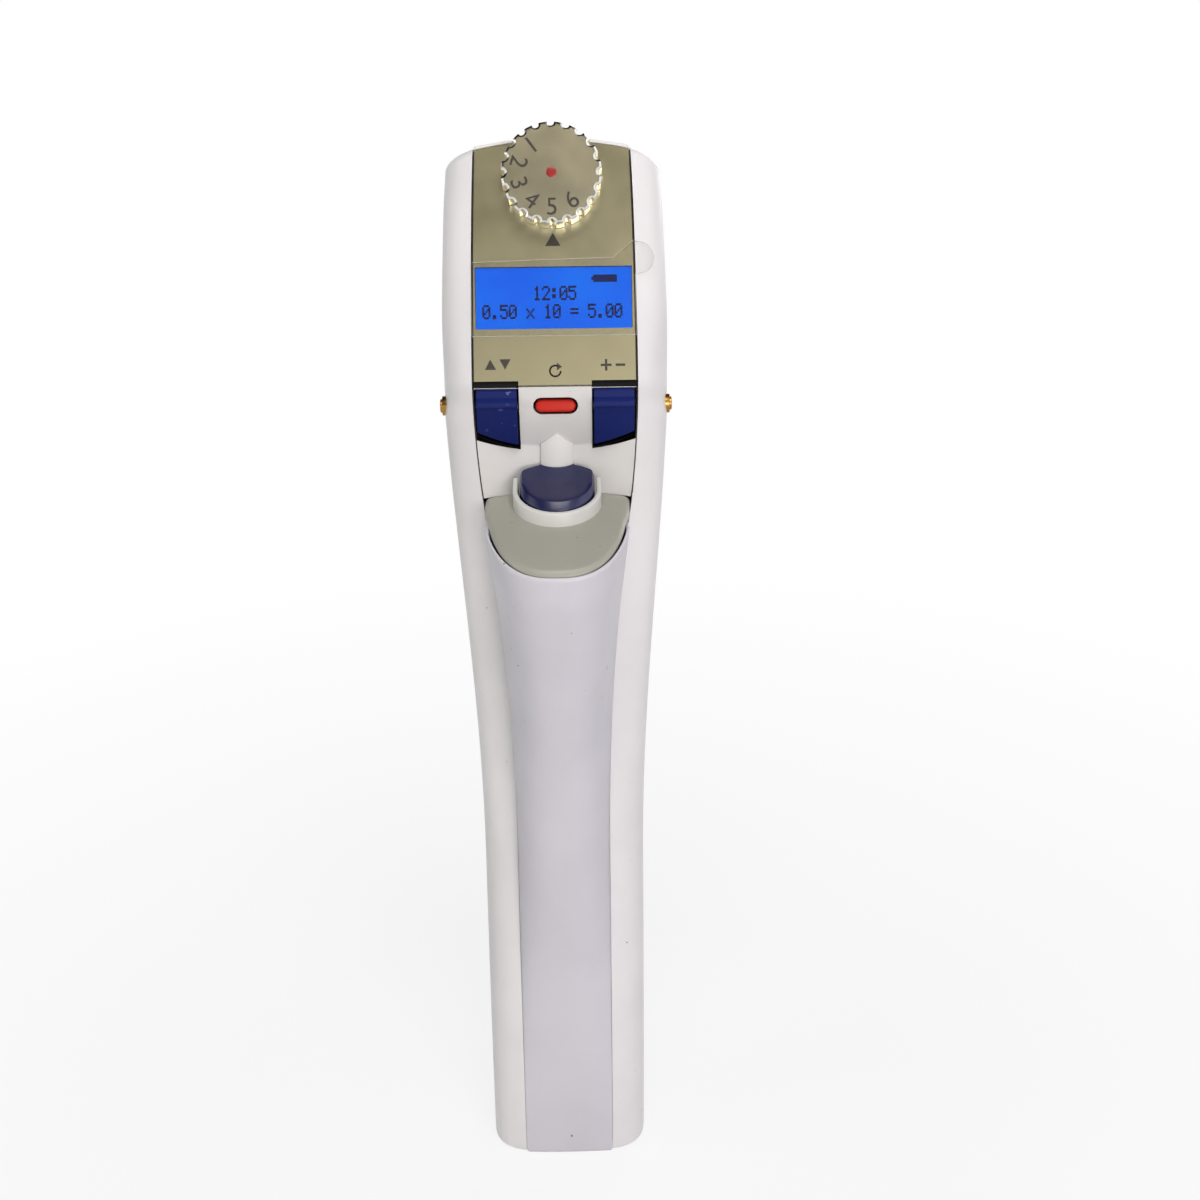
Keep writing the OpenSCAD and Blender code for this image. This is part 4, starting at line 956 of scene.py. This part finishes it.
def lcd_cells(name, cells):
    """Dark cells on the screen, each a small raised tile."""
    panel_plates(name, [rectangle(*cell) for cell in cells], LCD_OUT - 0.02, LCD_OUT + 0.03, M_LCD_INK, "lcd_blue")


def lcd_row(name, words, centre_x, top_q):
    cells = []
    for k, ch in enumerate(words):
        for r, line in enumerate(GLYPHS[ch].split()):
            for c, dot in enumerate(line):
                if dot == "#":
                    x = centre_x + (k - len(words) / 2) * CHAR_PITCH + c * DOT
                    q = top_q - (r + 1) * DOT_H
                    cells.append((x, x + DOT * 1.3, q, q + DOT_H * 1.08))
    lcd_cells(name, cells)


lcd_row("lcd_row_upper", "12:05", 0.3, 22.95)
lcd_row("lcd_row_lower", "0.50 x 10 = 5.00", -0.3, 18.75)
lcd_cells("lcd_battery_sign", [(9.2, 14.7, 23.75, 25.45), (8.75, 9.2, 24.2, 25.0)])

FILM_LOW, FILM_HIGH, FILM_EDGE_HIGH = 0.07, 0.15, 0.175
FILM_EDGE_W, TAB_R = 0.16, 3.7


def build_film():
    """Protective film over the display: a thin sheet whose rounded tab bends back over the cheek."""
    half = half_s(PANEL_H + WINDOW_Q)
    edge, low, high = half + 0.1, WINDOW_Q - WINDOW_L / 2 - 1.7, WINDOW_Q + WINDOW_L / 2 + 1.7
    tab = [polar(TAB_R, a, edge + 0.6, high + 0.1) for a in linspace(-1.45, 1.45, 24)]
    outline = [(-edge, low), (edge, low), (edge, high - 3.6), *tab, (edge - 0.9, high + 4.0),
               (edge - 5.2, high + 0.3), (-edge, high - 0.5)]

    def bent(x, q, z):
        return x, q, z - 0.10 * max(0.0, x - half) ** 1.5

    def film_piece(name, verts, faces, mat):
        make(name, [bent(*p) for p in verts], faces, mat, "film_clear", matrix=PANEL_FRAME)
    film_piece("screen_film_dressed", *slabs([outline], FILM_LOW, FILM_HIGH), M_FILM)
    # painted highlight: a light line along the film's edge, standing in for the light that its edge catches
    n = len(outline)
    inner = []
    for i, (x, q) in enumerate(outline):
        (x0, q0), (x1, q1) = outline[i - 1], outline[(i + 1) % n]
        share = FILM_EDGE_W / hypot(x1 - x0, q1 - q0)
        inner.append((x - (q1 - q0) * share, q + (x1 - x0) * share))
    low_z, high_z = FILM_HIGH + 0.005, FILM_EDGE_HIGH
    verts = [(x, q, z) for line, z in ((inner, low_z), (outline, low_z), (outline, high_z), (inner, high_z))
             for x, q in line]
    film_piece("film_painted_highlight_line", verts, ring_faces(n, 4, wrapped=True), M_FILM_HIGHLIGHT)


build_film()


# ---------- mode dial

DIAL_BEVEL = 0.5
NOTCH_EDGE = 0.12  # how softly a notch runs into the rim


def dial_radius(a, r):
    """Radius of the knurled rim at an angle, with soft-edged notches."""
    pitch = 2 * pi / NOTCHES
    d = (a - pi / 2 + pitch / 2) % pitch - pitch / 2
    c = DIAL_R - 0.1
    inside = (NOTCH_R + min(DIAL_R - r, DIAL_BEVEL)) ** 2 - (c * sin(d)) ** 2
    if inside <= 0:
        return r
    bite = c * cos(d) - sqrt(inside)
    near = max(NOTCH_EDGE - abs(r - bite), 0.0) / NOTCH_EDGE
    return min(r, bite) - near * near * NOTCH_EDGE * 0.25


def build_dial():
    n = NOTCHES * 26
    angles = [2 * pi * i / n for i in range(n)]

    def ring(r, z):
        return [(*polar(dial_radius(a, r), a, 0, DIAL_Q), z) for a in angles]
    e = DIAL_R - DIAL_BEVEL
    profile = [(9.0, 0.35), (DIAL_R - 0.15, 0.35), (DIAL_R, 0.5), (DIAL_R, DIAL_T - 0.6),
               (DIAL_R - 0.05, DIAL_T - 0.5), (e + 0.07, DIAL_T - 0.06), (e, DIAL_T),
               (e - 0.05, DIAL_T), (e - 0.07, DIAL_T - 0.3)]
    ring_solid("mode_dial_dressed", [ring(r, z) for r, z in profile], M_CHROME, "dial_chrome", "dial",
               matrix=PANEL_FRAME, smooth=28)
    rf = e - 0.11
    rings = [ring(rf, DIAL_T - 0.4), ring(rf, DIAL_T - 0.06), ring(rf - 0.06, DIAL_T), ring(rf - 3, DIAL_T)]
    ring_solid("dial_face_dressed", rings, M_FACE, "panel_metal", "dial", matrix=PANEL_FRAME, smooth=28)
    dot = [[(x, q, DIAL_T + z) for x, q in circle_points(r, 48, 0, DIAL_Q)]
           for r, z in ((1.2, -0.3), (1.2, 0.03), (1.1, 0.08), (0.7, 0.1))]
    ring_solid("dial_dot_dressed", dot, M_DOT, "dot_red", "dial", matrix=PANEL_FRAME, smooth=50)


build_dial()

MARK_ANGLES = (126, 162, 198, 234, 270, 306)
MARK_R, MARK_SIZE, MARK_OUT = 7.9, 5.6, DIAL_T + 0.02


def dial_mark(number, angle):
    """Printed figure on the dial's face, with its foot towards the rim."""
    name = "dial_mark_%d" % number
    cu = bpy.data.curves.new(name, "FONT")
    cu.body = str(number)
    cu.size = MARK_SIZE * MM
    cu.align_x = cu.align_y = "CENTER"
    cu.extrude = INK_T * MM / 2
    cu.resolution_u = 6
    text = add_object(name, cu)
    me = evaluated_mesh(text)
    bpy.data.objects.remove(text)
    me.name = name
    x, q = polar(MARK_R, rad(angle), 0, DIAL_Q)
    me.transform(PANEL_FRAME @ Matrix.Translation((x * MM, q * MM, MARK_OUT * MM))
                 @ Matrix.Rotation(rad(angle - 270), 4, "Z"))
    me.materials.clear()
    me.materials.append(M_INK)
    dress(add_object(name, me), "dial")


for mark, mark_angle in enumerate(MARK_ANGLES, 1):
    dial_mark(mark, mark_angle)


# ---------- rocker keys

KEY_BOW = 0.3
KEY_FOOT = PANEL_H - 16.0
KEY_ARC_GAP = 1.7  # from the opening's arc to the key's lower edge
AXLE_Y, AXLE_Z = SEAM_NECK + 3.4, PANEL_H - 6.2
KEY_RIDGE = ((2.6, -0.9), (1.0, -1.15), (0.4, -1.6), (0.05, -3.0), (-0.7, -3.4), (-1.25, -3.8), (-1.42, -4.3),
             (-1.42, -4.8), (-1.2, -5.15))  # the upper face and the ridge, from the panel's lower edge


def build_rocker(node_name, side, body):
    """Rocker key: short upper face, raised thumb ridge, long lower face and an arc-shaped lower edge."""
    low_y = fascia_y(13.5, PANEL_H - 12)
    profile = [(PANEL_Y + dy, PANEL_H + dz) for dy, dz in KEY_RIDGE]
    profile += [(mix(PANEL_Y - 0.9, low_y + 0.5, t) - KEY_BOW * sin(pi * t), mix(PANEL_H - 5.4, KEY_FOOT, t))
                for t in linspace(0, 1, 13)]
    profile += [(low_y + 2.6, KEY_FOOT), (AXLE_Y + 1.8, AXLE_Z - 2.0), (AXLE_Y + 1.8, AXLE_Z + 1.4)]
    n, xs = len(profile), linspace(KEY_IN, KEY_OUT, 13)
    verts = [(side * x, y, z) for x in xs for y, z in profile]
    ends = [tuple(range(n)), tuple(reversed(range(len(verts) - n, len(verts))))]
    key = make(node_name + "_dressed", verts, ring_faces(n, len(xs)) + ends, M_NAVY, smooth=30)
    r, x_in, x_out, below = ARC_R - KEY_ARC_GAP, KEY_IN - 1, KEY_OUT + 1, PANEL_H - 24
    outline = [(side * x, ARC_Z - sqrt(r * r - x * x)) for x in linspace(x_in, x_out, 30)]
    cut(key, outline + [(side * x_out, below), (side * x_in, below)], -6, 30, FRONT_TURN)
    finish_mesh(key, 24)
    soften(key, 0.25)
    dress(key, body)


build_rocker("select_key", -1, "select_rocker")
build_rocker("adjust_key", 1, "adjust_rocker")


# ---------- reset key

RESET_EDGE = ((0.0, -6.0), (0.0, -0.45), (0.06, -0.22), (0.2, -0.06), (0.42, 0.02), (0.9, 0.06))

reset_rings = [[(x, y, out) for x, y in pill_outline(RESET_W - 2 * inset, RESET_T - 2 * inset, 20)]
               for inset, out in RESET_EDGE]
ring_solid("reset_key_dressed", reset_rings, M_RED, "reset_red", "reset_button", high=(0, 0, 0.08),
           matrix=RESET_FRAME, smooth=50)


# ---------- thumb shelf, collar and start key

EDGE = 1.1
SKIRT, SKIRT_IN = 9.0, 2.2
SHELF_GAP, REAR_GAP = 0.12, 0.35
LOW_H = SHELF_H - EDGE - EJECT_TRAVEL - 0.25
RIB_CLEAR = 0.3
SHELF_T = 2.2
STEM_R, BORE_R = 3.5, 3.56


def widened(x, y):
    return x * (1 + 0.035 * ease((y - SIDE_Y - 0.2) / 4)), y


def shelf_outline(inset):
    s = half_s(LOW_H) - SEAM_GAP / 4 - grip_wall(LOW_H) - SHELF_GAP - inset
    reach = bulge(SHELF_H) - grip_wall(SHELF_H) - SHELF_GAP - inset
    y_s = seam_y(SHELF_H)
    c, notch = widened(s, y_s)[0], RIB_W / 2 + RIB_CLEAR

    def rear(x):
        return fascia_y(x, SHELF_H - 1) - REAR_GAP - inset * 0.3
    turn = [(c - dx, mix(y_s, rear(c), t)) for dx, t in ((0.0, 0.3), (0.1, 0.7), (0.35, 0.93))]
    right = turn + [(x, rear(x)) for x in linspace(c - 0.7, notch + 0.15, 22)]
    pts = [widened(*grip_point(SHELF_H, a, s, reach, y_s)) for a in GRIP_ANGLES[1:-1]] + right
    pts += [(x, rib_arc(x, RIB_CLEAR)) for x in linspace(notch, -notch, 15)]
    return pts + mirrored(right)


def build_shelf():
    """Thumb shelf: rounded edge, skirt below, and a bore that the start key's stem slides in."""
    top = shelf_outline(EDGE)
    angles = []
    for x, y in top:
        a = atan2(y - START_Y, x)
        while angles and a < angles[-1] - pi:
            a += 2 * pi
        angles.append(a if not angles else max(a, angles[-1] + 1e-4))
    bore = [polar(BORE_R, a, 0, START_Y) for a in angles]
    inside = shelf_outline(SKIRT_IN + 1.5)

    def level(points, drop):
        return [(x, y, shelf_top(y) - drop) for x, y in points]

    def between(outline, k):
        return [(mix(x, u, k), mix(y, v, k)) for (x, y), (u, v) in zip(outline, bore)]
    rings = [level(between(inside, 0.5), SHELF_T), level(inside, SHELF_T), level(inside, SKIRT),
             level(shelf_outline(SKIRT_IN), SKIRT), level(shelf_outline(0.9), EDGE + 2.2)]
    rings += [level(shelf_outline(u), v) for u, v in fillet(EDGE, 8)]
    rings += [level(between(top, k), 0) for k in (0.1, 0.3, 0.5, 0.7, 0.9, 1.0)]
    rings.append(level(bore, SHELF_T))
    make("thumb_shelf_dressed", sum(rings, []), ring_faces(len(top), len(rings), wrapped=True),
         M_SHELF, "shelf_plastic", "ejector", smooth=42)


build_shelf()

LIP_Z, LIP_LEAN = SHELF_H + 3.5, 13.1
COLLAR_R = START_R + 0.25 + COLLAR_T
COLLAR_IN = COLLAR_R - COLLAR_T


def build_collar():
    """U-shaped rim round the start key, cut along a sloping plane, with a rounded lip; its inner wall is painted
    black as shade.
    """
    def path(r):
        rear = [(r, START_Y + t) for t in linspace(4.9, 0.3, 12)]
        arc = [polar(r, a, 0, START_Y) for a in linspace(0, -pi, 72)]
        return rear + arc + mirrored(rear)

    def lip(y):
        return LIP_Z + (y - START_Y) * tan(rad(LIP_LEAN))
    rings = []
    for inset, drop in ((0, None), (0, 0.42), (0.07, 0.2), (0.22, 0.06), (0.42, 0.0), (COLLAR_T / 2, 0.0),
                        (COLLAR_T / 2 + 0.2, 0.0), (COLLAR_T - 0.2, 0.04), (COLLAR_T - 0.06, 0.16), (COLLAR_T, 0.36),
                        (COLLAR_T, None)):
        rings.append([(x, y, (shelf_top(y) - 0.6) if drop is None else lip(y) - drop)
                      for x, y in path(COLLAR_R - inset)])
    n, m = len(rings[0]), len(rings)
    faces = ring_faces(n, m, closed=False, wrapped=True)
    faces += [tuple(j * n for j in range(m)), tuple(j * n + n - 1 for j in reversed(range(m)))]
    collar = make("start_collar", sum(rings, []), faces, M_COLLAR, "shelf_plastic", "ejector", smooth=40)
    collar.data.materials.append(M_BLACK_AND_SHADE)
    # painted shade: the inner wall is coloured black so that the gap round the start key reads as a dark line
    for f in collar.data.polygons:
        x, y = f.center.x / MM, f.center.y / MM - START_Y
        if hypot(x, min(y, 0)) < COLLAR_IN + 0.02:
            f.material_index = 1


build_collar()

KEY_REAR = START_Y + 5.3
KEY_REAR_ARC = 13.4
KEY_LEAN = 14.9
KEY_HIGH = SHELF_H + 5.1
CHAMFER = 1.3
KEY_GAP = 0.18  # more room than the solid has, so that the gap reads dark


def key_outline(inset):
    side_x, corner, notch = START_R - KEY_GAP - 0.35 * inset, KEY_REAR - inset * 0.2, RIB_W / 2 + RIB_CLEAR
    back = sqrt(KEY_REAR_ARC ** 2 - side_x ** 2)
    pts = []
    for a in linspace(pi, 2 * pi, 73):
        r = START_R - KEY_GAP - inset * (0.35 - 0.65 * sin(a))
        pts.append(polar(r, a, 0, START_Y))
    right = [(side_x, mix(START_Y, corner - 0.3, t)) for t in (0.3, 0.6, 0.9)] + [(side_x - 0.06, corner - 0.1)]
    right += [(x, corner + sqrt(KEY_REAR_ARC ** 2 - x * x) - back)
              for x in linspace(side_x - 0.25, notch, 10)]
    pts += right
    pts += [(x, rib_arc(x, RIB_CLEAR + 0.1 * min(inset, 1))) for x in linspace(notch - 0.05, -notch + 0.05, 15)]
    return pts + mirrored(right)


def key_top(y):
    return KEY_HIGH + (y - START_Y) * tan(rad(KEY_LEAN))


def build_start_key():
    """Start key with a chamfered edge and a slightly dished top, and the stem below it."""
    low = START_TRAVEL + 0.5
    rings = [[(x, y, shelf_top(y) + low) for x, y in key_outline(0)]]
    for inset, drop in ((0.0, CHAMFER + 0.25), (0.03, CHAMFER + 0.05), (0.12, CHAMFER - 0.08), (CHAMFER - 0.12, 0.14),
                        (CHAMFER, 0.04), (CHAMFER + 0.15, 0.0)):
        rings.append([(x, y, key_top(y) - drop) for x, y in key_outline(inset)])
    for k, dish in ((0.85, 0.03), (0.6, 0.12), (0.35, 0.18), (0.15, 0.2)):
        inside = [(x * k, mix(START_Y, y, k)) for x, y in key_outline(CHAMFER + 0.15)]
        rings.append([(x, y, key_top(y) - dish) for x, y in inside])
    ring_solid("start_key_dressed", rings, M_START, "key_navy", "start_button",
               low=(0, START_Y, shelf_top(START_Y) + low), high=(0, START_Y, key_top(START_Y) - 0.2), smooth=34)
    stem_low, stem_high = SHELF_H - 12, SHELF_H + 3
    rings = [[(x, y, z) for x, y in circle_points(r, 40, 0, START_Y)]
             for r, z in ((STEM_R - 0.3, stem_low), (STEM_R, stem_low + 0.3), (STEM_R, stem_high))]
    ring_solid("start_key_stem", rings, M_START, "key_navy", "start_button", smooth=40)


build_start_key()


# ---------- charging contacts

def build_contact(node_name, side):
    """Gold stud turned in steps with rounded edges."""
    r = CONTACT_D / 2
    profile = [(r, -WALL - 0.6), (r, 0.42), (r - 0.06, 0.55), (r - 0.22, 0.605), (r - 0.66, 0.61), (r - 0.7, 0.66),
               (r - 0.7, 0.95), (r - 0.8, 1.06), (r - 1.0, CONTACT_OUT), (0.6, CONTACT_OUT)]
    rings = [[(side * (CHEEK + out), y, z) for y, z in circle_points(radius, 48, CONTACT_Y, CONTACT_Z)]
             for radius, out in profile]
    ring_solid(node_name + "_dressed", rings, M_GOLD, "contact_gold", smooth=30)


build_contact("left_contact", -1)
build_contact("right_contact", 1)


# ---------- floor, light and camera

WHITE = (1, 1, 1, 1)
FLOOR_HALF = 14000.0
AMBIENT = 0.27  # the room's light on matt surfaces
MIRRORED = 1.3  # what shiny surfaces reflect from the side
MIRRORED_HIGH = 0.0  # and from above


def rays_seen(t):
    """The light path, and 1 for what the camera sees directly or through a clear piece."""
    rays = add(t, "LightPath")
    return rays, maths(t, "MAXIMUM", (rays, "Is Camera Ray"), (rays, "Is Transmission Ray"))


def blend_shaders(t, share, first, second, output):
    mixer = add(t, "MixShader")
    for k, node in enumerate((share, first, second)):
        link(t, node, 0, mixer, k)
    link(t, mixer, 0, t.nodes[output], "Surface")


def build_floor():
    """Pale floor that takes the object's shadow, and looks plain white away from it."""
    h = FLOOR_HALF
    floor = add_mesh("floor", [(x, y, 0) for x, y in rectangle(-h, h, -h, h)], [(0, 1, 2, 3)], None)
    m, t, b = tree("floor_white")
    constants(b, Base_Color=(0.7, 0.7, 0.7, 1), Roughness=0.9, Specular_IOR_Level=0.0)
    rays, seen = rays_seen(t)
    mirrored = maths(t, "MAXIMUM", (seen, 0), (rays, "Is Glossy Ray"))
    far = add(t, "VectorMath")
    far.operation = "LENGTH"
    link(t, add(t, "TexCoord"), "Object", far, 0)
    white = add(t, "MapRange", From_Min=0.1, From_Max=0.4, To_Min=0.8, To_Max=1.0)
    link(t, far, "Value", white, "Value")
    share = maths(t, "MULTIPLY", (mirrored, 0), (white, 0))
    blend_shaders(t, share, b, add(t, "Emission", Color=WHITE, Strength=1.0), "Material Output")
    floor.data.materials.append(m)


def build_world():
    """White where it is seen; a bright room that fades to dark above where it is mirrored; dim light elsewhere."""
    w = bpy.data.worlds.new("studio")
    bpy.context.scene.world = w
    w.use_nodes = True
    t = w.node_tree
    room = constants(t.nodes["Background"], Color=(0.93, 0.95, 1.0, 1))
    way = add(t, "SeparateXYZ")
    link(t, add(t, "TexCoord"), "Generated", way, 0)
    slope = maths(t, "MULTIPLY_ADD", (way, "X"), -0.35, (way, "Z"))
    fade = add(t, "MapRange", From_Min=0.43, From_Max=0.56, To_Min=MIRRORED, To_Max=MIRRORED_HIGH)
    link(t, slope, 0, fade, "Value")
    rays, seen = rays_seen(t)
    strength = add(t, "MapRange", To_Min=AMBIENT)
    link(t, rays, "Is Glossy Ray", strength, "Value")
    link(t, fade, 0, strength, "To Max")
    link(t, strength, 0, room, "Strength")
    blend_shaders(t, seen, room, add(t, "Background", Color=WHITE, Strength=1.0), "World Output")


def area(name, where, aim_z, size, power, colour=(1, 1, 1)):
    """Rectangular lamp that points at a height over the origin."""
    lamp = bpy.data.lights.new(name, "AREA")
    lamp.shape = "RECTANGLE"
    lamp.size, lamp.size_y = size
    lamp.energy, lamp.color = power, colour
    o = add_object(name, lamp)
    o.location = where
    o.rotation_mode = "QUATERNION"
    o.rotation_quaternion = (Vector((0, 0, aim_z)) - Vector(where)).to_track_quat("-Z", "Y")


build_floor()
build_world()
area("key_light", (0.08, -0.45, 1.08), 0.2, (0.6, 0.45), 6.2, (1.0, 0.99, 0.97))
area("front_light", (0.36, -1.20, 0.30), 0.2, (0.6, 0.4), 6.6, (1.0, 0.96, 0.95))
area("fill_light", (0.85, -0.25, 0.50), 0.15, (0.5, 0.7), 0.8, (0.98, 0.92, 1.0))
area("side_light", (-0.85, -0.25, 0.50), 0.15, (0.5, 0.7), 1.8, (0.98, 1.0, 0.88))
area("back_light", (0.4, 0.95, 0.38), 0.15, (0.8, 0.5), 3.6)

CAMERA_AT = (0.005430, -0.369656, 0.316613)
CAMERA_RIGHT = (0.99982682, -0.01603396, -0.00944707)
CAMERA_UP = (0.01504613, 0.39771221, 0.91738684)
CAMERA_BACK = (-0.01095213, -0.9173701, 0.39788458)

lens = bpy.data.cameras.new("camera")
lens.lens, lens.sensor_width = 50, 36
lens.clip_start, lens.clip_end = 0.01, 60
camera = add_object("camera", lens)
camera.matrix_world = Matrix([*zip(CAMERA_RIGHT, CAMERA_UP, CAMERA_BACK, CAMERA_AT), (0, 0, 0, 1)])
bpy.context.scene.camera = camera
bpy.context.scene.view_settings.view_transform = "Standard"
